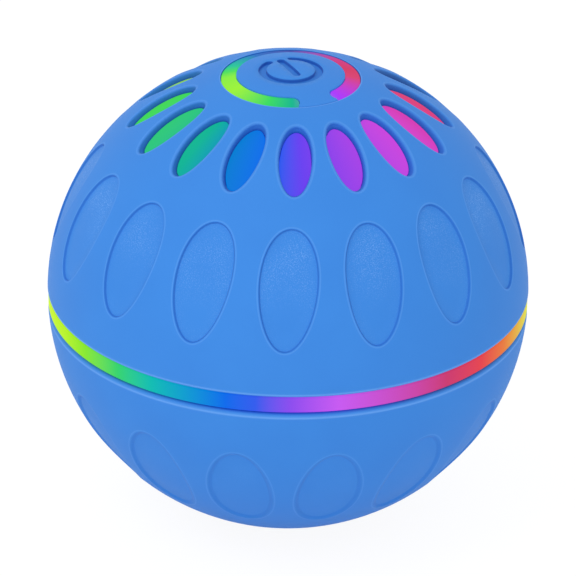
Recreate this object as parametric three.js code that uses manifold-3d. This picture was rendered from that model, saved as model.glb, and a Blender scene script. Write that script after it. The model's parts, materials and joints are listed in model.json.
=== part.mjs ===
// Automatic jumping dog ball.
//
// A soft blue cover in two halves is stretched over a hard ball. The upper hard half is a milky
// dome that is lit from inside and shows through sixteen oval slots and a C-shaped slot. A clear
// ring at the equator carries the light round the ball. The middle of the C is a push button.
// Inside, a small motor turns a shaft with two half-round weights through a pair of gear stages,
// and the swinging weights make the ball roll and jump.
//
// Millimetres. The origin is the ball's centre, +Z runs up through the button, and the button's
// hinge is on the -Y side. The drive's shaft lies along X.

import * as THREE from 'three';
import { mergeVertices } from 'three/addons/utils/BufferGeometryUtils.js';
import Module from 'manifold-3d';

const wasm = await Module();
wasm.setup();

const radians = THREE.MathUtils.degToRad;

// Driving dimensions
const ballRadius = 40;
const coverThickness = 2.3;
const shellThickness = 1.8;
const fitGap = 0.3;
const runningGap = 0.1;
const overrun = 2;
const footDepth = 1;
const band = { top: 0.9, bottom: -1.9 };

const coverInside = ballRadius - coverThickness;
const shellRadius = coverInside - fitGap;
const cavityRadius = shellRadius - shellThickness;

// Facets round a full turn, and along a quarter of a meridian
const ballSides = 32;
const shellSides = 24;
const discSides = 12;
const pinSides = 8;
const ballRings = 6;
const shellRings = 4;
const ovalSides = 10;
const capSteps = 5;

// Solids

function toSolid(geometry) {
  geometry.deleteAttribute('normal');
  geometry.deleteAttribute('uv');
  const merged = mergeVertices(geometry);
  const index = merged.getIndex().array;
  const corners = [];
  for (let i = 0; i < index.length; i += 3) {
    const [a, b, c] = [index[i], index[i + 1], index[i + 2]];
    if (a !== b && b !== c && c !== a) corners.push(a, b, c);
  }
  return new wasm.Manifold(new wasm.Mesh({
    numProp: 3,
    vertProperties: Float32Array.from(merged.getAttribute('position').array),
    triVerts: Uint32Array.from(corners),
  }));
}

function join(solids) {
  return solids.reduce((whole, solid) => whole.add(solid));
}

function cut(solid, cutters) {
  return cutters.reduce((rest, cutter) => rest.subtract(cutter), solid);
}

// Turns a closed profile of [radius, height] points round the Z axis
function revolve(profile, sides = discSides) {
  const loop = profile.map(([radius, height]) => new THREE.Vector2(radius, height));
  if (THREE.ShapeUtils.isClockWise(loop)) loop.reverse();
  loop.push(loop[0].clone());
  const geometry = new THREE.LatheGeometry(loop, sides);
  geometry.rotateX(Math.PI / 2);
  return toSolid(geometry);
}

function extrusion(outline, from, to) {
  const shape = new THREE.Shape(outline.map(([x, y]) => new THREE.Vector2(x, y)));
  const geometry = new THREE.ExtrudeGeometry(shape, { depth: to - from, bevelEnabled: false });
  return geometry.translate(0, 0, from);
}

function prism(outline, from, to) {
  return toSolid(extrusion(outline, from, to));
}

function cylinder(radius, from, to, sides = discSides, centre = [0, 0]) {
  return prism(circle(radius, sides, centre), from, to);
}

function box(width, depth, from, to, centre = [0, 0]) {
  const [x, y] = centre;
  return prism([
    [x - width / 2, y - depth / 2],
    [x + width / 2, y - depth / 2],
    [x + width / 2, y + depth / 2],
    [x - width / 2, y + depth / 2],
  ], from, to);
}

// Outlines

function arc(radius, from, to, steps, centre = [0, 0]) {
  return Array.from({ length: steps + 1 }, (_, i) => {
    const angle = from + (to - from) * i / steps;
    return [centre[0] + radius * Math.cos(angle), centre[1] + radius * Math.sin(angle)];
  });
}

function circle(radius, sides, centre = [0, 0]) {
  return arc(radius, 0, 2 * Math.PI, sides, centre).slice(0, -1);
}

function ellipse(halfWidth, halfLength, sides) {
  return circle(1, sides).map(([x, y]) => [halfWidth * x, halfLength * y]);
}

function roundedSlot(length, width, steps) {
  const reach = (length - width) / 2;
  return [
    ...arc(width / 2, -Math.PI / 2, Math.PI / 2, steps, [reach, 0]),
    ...arc(width / 2, Math.PI / 2, 3 * Math.PI / 2, steps, [-reach, 0]),
  ];
}

// The outline of a plate that wraps tightly round a set of points
function wrap(points) {
  const sorted = [...points].sort((a, b) => a[0] - b[0] || a[1] - b[1]);
  const turn = (o, a, b) => (a[0] - o[0]) * (b[1] - o[1]) - (a[1] - o[1]) * (b[0] - o[0]);
  const half = (list) => {
    const chain = [];
    for (const point of list) {
      while (chain.length > 1 && turn(chain.at(-2), chain.at(-1), point) <= 0) chain.pop();
      chain.push(point);
    }
    return chain.slice(0, -1);
  };
  return [...half(sorted), ...half(sorted.reverse())];
}

// Spherical walls

function heightOn(radius, reach) {
  return Math.sqrt(radius ** 2 - reach ** 2);
}

function solidBall(radius, sides = shellSides, rings = shellRings) {
  return revolve(arc(radius, -Math.PI / 2, Math.PI / 2, 2 * rings), sides);
}

// The part of a hollow ball between two heights
function hollowBall(outside, inside, bottom, top, sides, rings) {
  const slice = cylinder(outside + overrun, bottom, top);
  return solidBall(outside, sides, rings).intersect(slice).subtract(solidBall(inside));
}

// A frame on the ball: +Z outwards, +Y towards the pole, then turned clockwise by a lean
function surfaceFrame(latitude, longitude, lean) {
  const out = new THREE.Vector3(
    Math.cos(latitude) * Math.cos(longitude),
    Math.cos(latitude) * Math.sin(longitude),
    Math.sin(latitude),
  );
  const east = new THREE.Vector3(-Math.sin(longitude), Math.cos(longitude), 0);
  const north = new THREE.Vector3().crossVectors(out, east);
  const frame = new THREE.Matrix4().makeBasis(east, north, out);
  return frame.multiply(new THREE.Matrix4().makeRotationZ(-lean));
}

function radialCutter(outline, from, to, place, longitude) {
  const geometry = extrusion(outline, from, to);
  geometry.applyMatrix4(surfaceFrame(place.latitude, longitude, place.lean));
  return toSolid(geometry);
}

// The pattern on the covers: ovals in rings round the ball, counted from the button's hinge

const upperCount = 16;
const lowerCount = 15;
const hingeLongitude = -Math.PI / 2;

const slot = {
  latitude: radians(57.7), twist: 0, lean: radians(3.7), halfWidth: 2.7, halfLength: 6.55,
};
const upperDimple = {
  latitude: radians(26.6), twist: radians(-2.4), lean: radians(3.7),
  halfWidth: 4.7, halfLength: 9.5, depth: 0.4,
};
const lowerDimple = {
  latitude: radians(-30.3), twist: Math.PI / lowerCount - radians(1.3), lean: radians(1.3),
  halfWidth: 5, halfLength: 9.9, depth: 0.4,
};

function aroundBall(count, make) {
  return Array.from({ length: count }, (_, i) => make(hingeLongitude + 2 * Math.PI * i / count));
}

function slotCutters() {
  const outline = ellipse(slot.halfWidth, slot.halfLength, ovalSides);
  return aroundBall(upperCount, (longitude) => radialCutter(
    outline, shellRadius, ballRadius + overrun, slot, longitude + slot.twist));
}

function dimpleCutters(dimple, count) {
  const outline = ellipse(dimple.halfWidth, dimple.halfLength, ovalSides);
  const floor = solidBall(ballRadius - dimple.depth, ballSides, ballRings);
  return aroundBall(count, (longitude) => radialCutter(
    outline, coverInside, ballRadius + overrun, dimple, longitude + dimple.twist).subtract(floor));
}

// Button: a round tab that hangs on a short bridge inside the C-shaped slot

const tab = { radius: 8.85, openingRadius: 11.4, thickness: 1.2, bridgeHalfAngle: radians(23.6) };
const tabInside = ballRadius - tab.thickness;

// The C-shaped outline between the tab and the cover, drawn in by an inset on every side
function cSlot(inset = 0) {
  const inner = tab.radius + inset;
  const outer = tab.openingRadius - inset;
  const middle = (inner + outer) / 2;
  const endRadius = (outer - inner) / 2;
  const start = hingeLongitude + tab.bridgeHalfAngle;
  const end = hingeLongitude + 2 * Math.PI - tab.bridgeHalfAngle;
  const at = (angle) => [middle * Math.cos(angle), middle * Math.sin(angle)];
  return [
    ...arc(outer, start, end, shellSides),
    ...arc(endRadius, end, end + Math.PI, capSteps, at(end)).slice(1, -1),
    ...arc(inner, end, start, shellSides),
    ...arc(endRadius, start + Math.PI, start + 2 * Math.PI, capSteps, at(start)).slice(1, -1),
  ];
}

function buttonTab() {
  const reach = tab.openingRadius - fitGap;
  const lid = revolve([
    ...arc(ballRadius, Math.acos(reach / ballRadius), Math.PI / 2, 3),
    ...arc(tabInside, Math.PI / 2, Math.acos(reach / tabInside), 3),
  ], shellSides);
  return lid.subtract(prism(cSlot(), 0, ballRadius + overrun));
}

// Covers

function upperCover() {
  const wall = hollowBall(ballRadius, coverInside, band.top, ballRadius, ballSides, ballRings);
  const opening = cylinder(tab.openingRadius, 0, ballRadius + overrun, shellSides);
  return cut(wall, [opening, ...slotCutters(), ...dimpleCutters(upperDimple, upperCount)]);
}

const lowerEdge = { round: 0.8, steps: 3 };
const foot = { height: -(ballRadius - footDepth), openingRadius: 6.6 };
foot.radius = heightOn(ballRadius, foot.height);

function lowerCover() {
  const roundBase = band.bottom - lowerEdge.round;
  const roundCentre = [heightOn(ballRadius, roundBase) - lowerEdge.round, roundBase];
  const outside = revolve([
    [0, foot.height],
    ...arc(ballRadius, -Math.acos(foot.radius / ballRadius), Math.asin(roundBase / ballRadius), ballRings),
    ...arc(lowerEdge.round, 0, Math.PI / 2, lowerEdge.steps, roundCentre).slice(1),
    [0, band.bottom],
  ], ballSides);
  const opening = cylinder(foot.openingRadius, foot.height - overrun, 0);
  return cut(outside, [solidBall(coverInside), opening, ...dimpleCutters(lowerDimple, lowerCount)]);
}

// Light ring: a clear band whose web is clamped between the hard halves

const ring = { recess: 0.5, gapAbove: 0.25, gapBelow: 0.4, webThickness: 1.2, webReach: 2.5, crown: 0.2 };
ring.webInside = shellRadius - ring.webReach;
ring.top = band.top - ring.gapAbove;
ring.bottom = band.bottom + ring.gapBelow;
ring.webTop = (band.top + band.bottom + ring.webThickness) / 2;
ring.webBottom = ring.webTop - ring.webThickness;

function lightRing() {
  const outside = ballRadius - ring.recess;
  const edge = outside - ring.crown;
  return revolve([
    [ring.webInside, ring.webBottom],
    [coverInside, ring.webBottom],
    [coverInside, ring.bottom],
    [edge, ring.bottom],
    [outside, ring.bottom + (ring.top - ring.bottom) / 3],
    [outside, ring.top - (ring.top - ring.bottom) / 3],
    [edge, ring.top],
    [coverInside, ring.top],
    [coverInside, ring.webTop],
    [ring.webInside, ring.webTop],
  ], shellSides);
}

// Screws and what they go into

const screw = { radius: 1, headRadius: 1.9, headHeight: 1.2, pilotRadius: 1.1, clearRadius: 1.3, sinkRadius: 2.3 };
const smallScrew = { radius: 0.8, headRadius: 1.4, headHeight: 0.9, pilotRadius: 0.9, clearRadius: 1 };

// The head's underside is at height zero, and the shank runs down from it
function screwSolid(kind, length) {
  return revolve([
    [0, -length],
    [kind.radius, -length],
    [kind.radius, 0],
    [kind.headRadius, 0],
    [kind.headRadius, kind.headHeight],
    [0, kind.headHeight],
  ], pinSides);
}

function corners(x, y) {
  return [[x, y], [-x, y], [-x, -y], [x, -y]];
}

// Two hard halves, held together by four long screws from below

const halves = { domeBottom: ring.webTop + fitGap, bowlTop: ring.webBottom - fitGap };
const shellScrew = {
  wallInset: 3.5, columnRadius: 3.2, bossRadius: 2.4, bossHeight: 12, seat: -8, length: 15,
};
shellScrew.reach = cavityRadius - shellScrew.wallInset;
shellScrew.places = corners(shellScrew.reach * Math.SQRT1_2, shellScrew.reach * Math.SQRT1_2);

const ringBoard = { thickness: 1, wallInset: 1.3, width: 4.3, dropBelowBowl: 0.2 };
ringBoard.outsideRadius = cavityRadius - ringBoard.wallInset;
ringBoard.insideRadius = ringBoard.outsideRadius - ringBoard.width;
ringBoard.top = halves.bowlTop - ringBoard.dropBelowBowl + fitGap;
ringBoard.bottom = ringBoard.top - ringBoard.thickness;

const plunger = { radius: 2.3, flangeRadius: 3.4, flangeHeight: 0.7 };
plunger.flangeTop = heightOn(cavityRadius, plunger.flangeRadius) - fitGap;
const controlBoard = {
  radius: 17, dropBelowDome: 7.8, thickness: 1.2, screwReach: 13, bossRadius: 2.2, screwLength: 4.5,
};
controlBoard.bottom = cavityRadius - controlBoard.dropBelowDome;
controlBoard.top = controlBoard.bottom + controlBoard.thickness;
controlBoard.screwPlaces = arc(controlBoard.screwReach, radians(90), radians(330), 2);

// A post that grows from the wall of a hard half: it is trimmed inside the wall
function wallPost(radius, from, to, place, sides = pinSides) {
  return cylinder(radius, from, to, sides, place).intersect(solidBall(shellRadius - shellThickness / 2));
}

// The raised rib of the dome that fills the C-shaped slot and carries light up to its mouth
const glowRib = { recess: 0.35 };

function glowRibSolid() {
  const root = heightOn(shellRadius - shellThickness / 2, (tab.radius + tab.openingRadius) / 2);
  return prism(cSlot(fitGap), root, ballRadius)
    .intersect(solidBall(ballRadius - glowRib.recess, ballSides, ballRings));
}

function diffuserDome() {
  const wall = hollowBall(shellRadius, cavityRadius, halves.domeBottom, shellRadius, shellSides, shellRings);
  const bossBottom = ringBoard.top + fitGap;
  const screwBosses = shellScrew.places.map(
    (place) => wallPost(shellScrew.bossRadius, bossBottom, shellScrew.bossHeight, place));
  const boardBosses = controlBoard.screwPlaces.map(
    (place) => wallPost(controlBoard.bossRadius, controlBoard.top + fitGap, shellRadius, place));
  const holes = [
    cylinder(plunger.radius + fitGap, 0, ballRadius),
    cylinder(plunger.flangeRadius + fitGap, 0, plunger.flangeTop + fitGap),
    ...shellScrew.places.map(
      (place) => cylinder(screw.pilotRadius, bossBottom - overrun, shellScrew.bossHeight - overrun,
        pinSides, place)),
    ...controlBoard.screwPlaces.map(
      (place) => cylinder(smallScrew.pilotRadius, controlBoard.bottom,
        controlBoard.bottom + controlBoard.screwLength, pinSides, place)),
  ];
  return cut(join([wall, glowRibSolid(), ...screwBosses, ...boardBosses]), holes);
}

// Charging socket and its board at the bottom of the bowl

const socket = {
  width: 9, height: 3.2, wall: 0.35, mouthRecess: 0.8, length: 7,
  tongueDepth: 2.6, tongueWidth: 6.6, tongueThickness: 0.7,
};
socket.mouth = socket.mouthRecess - shellRadius;
socket.top = socket.mouth + socket.length;
const chargeBoard = { width: 18, depth: 13, thickness: 1, postReach: 7, postRadius: 1.7, pinRadius: 0.8 };
chargeBoard.bottom = socket.top + fitGap;
chargeBoard.top = chargeBoard.bottom + chargeBoard.thickness;
chargeBoard.postPlaces = [[-chargeBoard.postReach, 0], [chargeBoard.postReach, 0]];

const frameBase = { top: -20.5, thickness: 1.5, halfWidth: 17.5, halfDepth: 21, chamfer: 4.5 };
frameBase.bottom = frameBase.top - frameBase.thickness;
const frameScrew = { reachX: 13.8, reachY: 18.4, postRadius: 2.4, length: 5 };
frameScrew.places = corners(frameScrew.reachX, frameScrew.reachY);

function lowerBowl() {
  const wall = hollowBall(shellRadius, cavityRadius, -shellRadius, halves.bowlTop, shellSides, shellRings);
  const columnTop = ringBoard.bottom - fitGap;
  const posts = [
    ...shellScrew.places.map(
      (place) => wallPost(shellScrew.columnRadius, -shellRadius, columnTop, place)),
    ...frameScrew.places.map(
      (place) => wallPost(frameScrew.postRadius, -shellRadius, frameBase.bottom - fitGap, place)),
    ...chargeBoard.postPlaces.map(
      (place) => wallPost(chargeBoard.postRadius, -shellRadius, chargeBoard.bottom - fitGap, place)),
    ...chargeBoard.postPlaces.map(
      (place) => wallPost(chargeBoard.pinRadius, -shellRadius, chargeBoard.top + fitGap, place)),
  ];
  const holes = [
    ...shellScrew.places.map(
      (place) => cylinder(screw.clearRadius, -shellRadius, overrun, pinSides, place)),
    ...shellScrew.places.map(
      (place) => cylinder(screw.sinkRadius, -shellRadius, shellScrew.seat, pinSides, place)),
    ...frameScrew.places.map(
      (place) => cylinder(screw.pilotRadius, frameBase.bottom - frameScrew.length,
        frameBase.bottom, pinSides, place)),
    prism(roundedSlot(socket.width + 2 * fitGap, socket.height + 2 * fitGap, 6),
      -ballRadius, -cavityRadius + overrun),
  ];
  return cut(join([wall, ...posts]), holes);
}

// Plug of the charging socket, pulled straight out

const plug = { thickness: 1, recess: 0.3, nibDepth: 1.4, notchRadius: 1.6 };
plug.radius = foot.openingRadius - fitGap;
plug.bottom = foot.height + plug.recess;
plug.top = plug.bottom + plug.thickness;

function chargePlug() {
  const clearWall = socket.wall + fitGap;
  const nib = roundedSlot(socket.width - 2 * clearWall, socket.height - 2 * clearWall, 6);
  const notch = cylinder(plug.notchRadius, plug.bottom - overrun, plug.bottom + plug.thickness / 2,
    pinSides, [0, plug.radius]);
  return join([
    cylinder(plug.radius, plug.bottom, plug.top),
    prism(nib, plug.bottom, socket.mouth + plug.nibDepth),
  ]).subtract(notch);
}

function chargeSocket() {
  const inside = roundedSlot(socket.width - 2 * socket.wall, socket.height - 2 * socket.wall, 6);
  const shell = prism(roundedSlot(socket.width, socket.height, 6), socket.mouth, socket.top)
    .subtract(prism(inside, socket.mouth - overrun, socket.top - socket.wall));
  const tongue = box(socket.tongueWidth, socket.tongueThickness,
    socket.mouth + socket.tongueDepth, socket.top);
  return shell.add(tongue);
}

function chargeBoardSolid() {
  const holes = chargeBoard.postPlaces.map((place) => cylinder(
    chargeBoard.pinRadius + fitGap, chargeBoard.bottom - overrun, chargeBoard.top + overrun, pinSides, place));
  return cut(box(chargeBoard.width, chargeBoard.depth, chargeBoard.bottom, chargeBoard.top), holes);
}

// Boards with their lamps

const lamp = { length: 2, width: 1.6, height: 0.8, edgeInset: 1.7, ringCount: 8, reachOnTop: 14.6, topCount: 6 };

function lampRow(count, reach, bottom, turn) {
  return Array.from({ length: count }, (_, i) => {
    const angle = turn + 2 * Math.PI * i / count;
    const geometry = new THREE.BoxGeometry(lamp.width, lamp.length, lamp.height);
    geometry.translate(reach, 0, bottom + lamp.height / 2);
    geometry.rotateZ(angle);
    return toSolid(geometry);
  });
}

function ringBoardSolid() {
  const plate = revolve([
    [ringBoard.insideRadius, ringBoard.bottom],
    [ringBoard.outsideRadius, ringBoard.bottom],
    [ringBoard.outsideRadius, ringBoard.top],
    [ringBoard.insideRadius, ringBoard.top],
  ], shellSides);
  const holes = shellScrew.places.map((place) => cylinder(
    screw.clearRadius, ringBoard.bottom - overrun, ringBoard.top + overrun, pinSides, place));
  const lamps = lampRow(lamp.ringCount, ringBoard.outsideRadius - lamp.edgeInset, ringBoard.top, Math.PI / lamp.ringCount);
  return join([cut(plate, holes), ...lamps]);
}

function controlBoardSolid() {
  const holes = controlBoard.screwPlaces.map((place) => cylinder(
    smallScrew.clearRadius, controlBoard.bottom - overrun, controlBoard.top + overrun, pinSides, place));
  const plate = cut(cylinder(controlBoard.radius, controlBoard.bottom, controlBoard.top), holes);
  const lampTurn = radians(90) + Math.PI / lamp.topCount;
  return join([plate, ...lampRow(lamp.topCount, lamp.reachOnTop, controlBoard.top, lampTurn)]);
}

// Switch under the button: body on the board, stem in the body, plunger through the dome

const switchBody = { width: 6, height: 3.4, stemRadius: 1.7, wellDepth: 1.6, stemHeight: 2, stemLift: 0.8 };
switchBody.bottom = controlBoard.top + fitGap;
switchBody.top = switchBody.bottom + switchBody.height;
switchBody.stemBottom = switchBody.top - switchBody.wellDepth + switchBody.stemLift;
switchBody.stemTop = switchBody.stemBottom + switchBody.stemHeight;

function tactSwitch() {
  const well = cylinder(switchBody.stemRadius + fitGap, switchBody.top - switchBody.wellDepth,
    switchBody.top + overrun, pinSides);
  return box(switchBody.width, switchBody.width, switchBody.bottom, switchBody.top).subtract(well);
}

function switchStem() {
  return cylinder(switchBody.stemRadius, switchBody.stemBottom, switchBody.stemTop, pinSides);
}

function buttonPlunger() {
  const bottom = switchBody.stemTop + fitGap;
  return join([
    cylinder(plunger.radius, bottom, tabInside - fitGap),
    cylinder(plunger.flangeRadius, plunger.flangeTop - plunger.flangeHeight, plunger.flangeTop),
  ]);
}

const chip = { size: 5, thickness: 0.9, place: [0, -8] };
const motionSensor = { radius: 1.4, length: 7, place: [-8, 5] };

function controlChip() {
  const bottom = controlBoard.top + fitGap;
  return box(chip.size, chip.size, bottom, bottom + chip.thickness, chip.place);
}

function motionSensorSolid() {
  const geometry = extrusion(circle(motionSensor.radius, pinSides), -motionSensor.length / 2,
    motionSensor.length / 2);
  geometry.rotateY(Math.PI / 2);
  geometry.translate(...motionSensor.place, controlBoard.top + fitGap + motionSensor.radius);
  return toSolid(geometry);
}

// Battery under the drive, on a foam pad

const battery = { width: 30, depth: 23, thickness: 4.2, padThickness: 0.6, padMargin: 2 };
battery.padTop = frameBase.bottom - fitGap;
battery.top = battery.padTop - battery.padThickness - fitGap;

function batteryCell() {
  const round = battery.thickness / 2;
  const geometry = extrusion(
    roundedSlot(battery.depth, battery.thickness, 5), -battery.width / 2, battery.width / 2);
  geometry.rotateX(Math.PI / 2).rotateZ(Math.PI / 2);
  geometry.translate(0, 0, battery.top - round);
  return toSolid(geometry);
}

function batteryPad() {
  return box(battery.width - 2 * battery.padMargin, battery.depth - 4 * battery.padMargin,
    battery.padTop - battery.padThickness, battery.padTop);
}

// Drive. Its own frame has the shaft along local Z, local X along the ball's Y, and local Y up.

const shaft = { radius: 1.5, halfLength: 25.9 };
const teeth = { module: 0.5, motor: 10, bigWheel: 36, smallWheel: 10, output: 40, pressure: radians(20), backlash: 0.26 };
teeth.addendum = 0.85 * teeth.module;
teeth.dedendum = 1.25 * teeth.module;

const firstDistance = teeth.module * (teeth.motor + teeth.bigWheel) / 2;
const secondDistance = teeth.module * (teeth.smallWheel + teeth.output) / 2;

// The motor lies level with the shaft, and the double gear hangs below and between them
const motorAxis = [-11.5, 0];
const idlerX = (secondDistance ** 2 - firstDistance ** 2 + motorAxis[0] ** 2) / (2 * motorAxis[0]);
const idlerAxis = [idlerX, -heightOn(secondDistance, idlerX)];

const layer = {
  plateBack: 8.8, plateFront: 10.3, firstBottom: 10.8, firstTop: 12.8, secondBottom: 13.2, secondTop: 15.2,
  wallInside: 16, wallOutside: 17.5, weightInside: 18, weightOutside: 24, clipInside: 24.3, clipOutside: 24.9,
};
const bush = { outsideRadius: 3.1, flangeRadius: 4, flangeThickness: 0.5 };
const idler = { pinRadius: 1, hubRadius: 1.9 };
const motor = {
  radius: 7.7, halfFlat: 6, length: 16, capLength: 2.2, bossRadius: 2, shaftRadius: 1, shaftInside: 8,
  screwReach: 4.6, screwLength: 3.5, terminal: [0.5, 2], terminalReach: 4.5, terminalLength: 2,
};
const spacer = { places: [[-18, 9], [6.6, -17.1]], radius: 2.3, lugRadius: 2.8, screwLength: 5.5 };

function involute(angle) {
  return Math.tan(angle) - angle;
}

// Half of a tooth's angle at a radius, on a wheel with involute flanks
function toothHalfAngle(radius, count) {
  const pitchRadius = teeth.module * count / 2;
  const baseRadius = pitchRadius * Math.cos(teeth.pressure);
  const pressureHere = Math.acos(Math.min(1, baseRadius / radius));
  const atPitch = Math.PI / (2 * count) - teeth.backlash / (4 * pitchRadius);
  return atPitch + involute(teeth.pressure) - involute(pressureHere);
}

function gearOutline(count, turn, flankSteps) {
  const pitchRadius = teeth.module * count / 2;
  const root = pitchRadius - teeth.dedendum;
  const tip = pitchRadius + teeth.addendum;
  const points = [];
  for (let i = 0; i < count; i += 1) {
    const centre = turn + 2 * Math.PI * i / count;
    const flank = Array.from({ length: flankSteps + 1 }, (_, step) => {
      const radius = root + (tip - root) * step / flankSteps;
      return { radius, half: toothHalfAngle(radius, count) };
    });
    const rising = flank.map(({ radius, half }) => [radius, centre - half]);
    const falling = flank.map(({ radius, half }) => [radius, centre + half]).reverse();
    for (const [radius, angle] of [...rising, ...falling]) {
      points.push([radius * Math.cos(angle), radius * Math.sin(angle)]);
    }
  }
  return points;
}

function directionTo(from, to) {
  return Math.atan2(to[1] - from[1], to[0] - from[0]);
}

function outputGear() {
  const turn = directionTo([0, 0], idlerAxis);
  const wheel = prism(gearOutline(teeth.output, turn, 1), layer.secondBottom, layer.secondTop);
  return wheel.subtract(cylinder(shaft.radius + runningGap, 0, layer.wallInside));
}

function doubleGear() {
  const bigTurn = directionTo(idlerAxis, motorAxis);
  const smallTurn = directionTo(idlerAxis, [0, 0]) + Math.PI / teeth.smallWheel;
  const big = prism(gearOutline(teeth.bigWheel, bigTurn, 1), layer.firstBottom, layer.firstTop);
  const small = prism(gearOutline(teeth.smallWheel, smallTurn, 2), layer.firstBottom, layer.secondTop);
  const bore = cylinder(idler.pinRadius + runningGap, 0, layer.wallInside, pinSides);
  return big.add(small).subtract(bore);
}

function motorPinion() {
  const turn = directionTo(motorAxis, idlerAxis) + Math.PI / teeth.motor;
  const wheel = prism(gearOutline(teeth.motor, turn, 2), layer.firstBottom, layer.firstTop);
  return wheel.subtract(cylinder(motor.shaftRadius + runningGap, 0, layer.wallInside, pinSides));
}

function motorScrewPlaces() {
  const angle = directionTo(motorAxis, idlerAxis) + Math.PI / 2;
  const reach = [motor.screwReach * Math.cos(angle), motor.screwReach * Math.sin(angle)];
  return [reach, reach.map((value) => -value)];
}

function flatSidedOutline(radius, halfFlat) {
  const half = Math.asin(halfFlat / radius);
  const upper = arc(radius, Math.PI / 2 - half, Math.PI / 2 + half, 6);
  const lower = arc(radius, 3 * Math.PI / 2 - half, 3 * Math.PI / 2 + half, 6);
  return [...upper, ...lower];
}

const motorFront = layer.plateBack - fitGap;
const motorBack = motorFront - motor.length;

function motorCan() {
  const body = prism(flatSidedOutline(motor.radius, motor.halfFlat), motorBack, motorFront);
  const boss = cylinder(motor.bossRadius, motorFront - overrun, layer.plateFront - fitGap, pinSides);
  const bore = cylinder(motor.shaftRadius + runningGap, motorFront - motor.shaftInside,
    layer.plateFront + overrun, pinSides);
  const pilots = motorScrewPlaces().map((place) => cylinder(
    smallScrew.pilotRadius, motorFront - motor.screwLength, motorFront + overrun, pinSides, place));
  return cut(body.add(boss), [bore, ...pilots]);
}

function motorEndCap() {
  const top = motorBack - fitGap;
  const bottom = top - motor.capLength;
  const body = prism(flatSidedOutline(motor.radius, motor.halfFlat), bottom, top);
  const [thickness, width] = motor.terminal;
  const terminals = [-1, 1].map((side) => box(
    thickness, width, bottom - motor.terminalLength, top, [0, side * motor.terminalReach]));
  return join([body, ...terminals]);
}

function motorShaft() {
  return cylinder(motor.shaftRadius, motorFront - motor.shaftInside + fitGap, layer.firstTop, pinSides);
}

function basePlate() {
  const { halfWidth, halfDepth, chamfer } = frameBase;
  const outline = wrap([
    ...corners(halfDepth - chamfer, halfWidth),
    ...corners(halfDepth, halfWidth - chamfer),
  ]);
  const geometry = extrusion(outline, frameBase.bottom, frameBase.top);
  geometry.rotateZ(Math.PI / 2);
  const holes = frameScrew.places.map((place) => cylinder(
    screw.clearRadius, frameBase.bottom - overrun, frameBase.top + overrun, pinSides, place));
  return cut(toSolid(geometry), holes);
}

// A wall of the drive's frame, as a plate in the drive's own frame, then turned into the ball's
const driveTurn = new THREE.Matrix4().makeRotationFromEuler(new THREE.Euler(Math.PI / 2, Math.PI / 2, 0));

function uprightWall(points, from, to) {
  return toSolid(extrusion(wrap(points), from, to).applyMatrix4(driveTurn));
}

function alongShaft(radius, from, to, place, sides = pinSides) {
  return toSolid(extrusion(circle(radius, sides, place), from, to).applyMatrix4(driveTurn));
}

const wall = { headRadius: 6, motorSideReach: 18.5, farSideReach: 11, leftReach: 10 };

function driveFrame() {
  const foot = (x) => [x, frameBase.bottom];
  const right = uprightWall([
    foot(-wall.motorSideReach), foot(wall.farSideReach),
    ...circle(wall.headRadius, pinSides),
    ...spacer.places.flatMap((place) => circle(spacer.lugRadius, pinSides, place)),
  ], layer.wallInside, layer.wallOutside);
  const left = uprightWall([
    foot(-wall.leftReach), foot(wall.leftReach),
    ...circle(wall.headRadius, pinSides),
  ], -layer.wallOutside, -layer.wallInside);
  const bushHole = alongShaft(bush.outsideRadius + runningGap, -layer.weightInside, layer.weightInside,
    [0, 0], discSides);
  const pinHole = alongShaft(idler.pinRadius + runningGap, layer.wallInside - overrun,
    layer.weightInside, idlerAxis);
  const screwHoles = spacer.places.map((place) => alongShaft(
    screw.clearRadius, layer.wallInside - overrun, layer.weightInside, place));
  return cut(join([basePlate(), right, left]), [bushHole, pinHole, ...screwHoles]);
}

function gearPlate() {
  const plate = prism(wrap([
    ...circle(motor.radius, discSides, motorAxis),
    ...circle(bush.flangeRadius, pinSides),
    ...circle(spacer.lugRadius, pinSides, idlerAxis),
    ...spacer.places.flatMap((place) => circle(spacer.lugRadius, pinSides, place)),
  ]), layer.plateBack, layer.plateFront);
  const posts = spacer.places.map((place) => cylinder(
    spacer.radius, layer.plateBack, layer.wallInside - fitGap, pinSides, place));
  const through = (radius, place, sides = pinSides) => cylinder(
    radius, layer.plateBack - overrun, layer.plateFront + overrun, sides, place);
  const pilots = spacer.places.map((place) => cylinder(
    screw.pilotRadius, layer.wallInside - spacer.screwLength, layer.wallInside, pinSides, place));
  const motorScrewHoles = motorScrewPlaces().map(([x, y]) => through(
    smallScrew.clearRadius, [motorAxis[0] + x, motorAxis[1] + y]));
  return cut(join([plate, ...posts]), [
    ...pilots,
    ...motorScrewHoles,
    through(motor.bossRadius + runningGap, motorAxis),
    through(idler.pinRadius + runningGap, idlerAxis),
    through(shaft.radius + fitGap, [0, 0]),
  ]);
}

// Made for the +Z end of the shaft: the flange sits on the inner face of the wall
function bushSolid() {
  const inside = shaft.radius + runningGap;
  return revolve([
    [inside, layer.wallInside - bush.flangeThickness],
    [bush.flangeRadius, layer.wallInside - bush.flangeThickness],
    [bush.flangeRadius, layer.wallInside - runningGap],
    [bush.outsideRadius, layer.wallInside - runningGap],
    [bush.outsideRadius, layer.wallOutside],
    [inside, layer.wallOutside],
  ]);
}

const weight = { radius: 16, hubRadius: 4.8, shoulder: radians(12), screwRadius: 1.25, pocketRadius: 2.2, pocketDepth: 1.2 };

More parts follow.
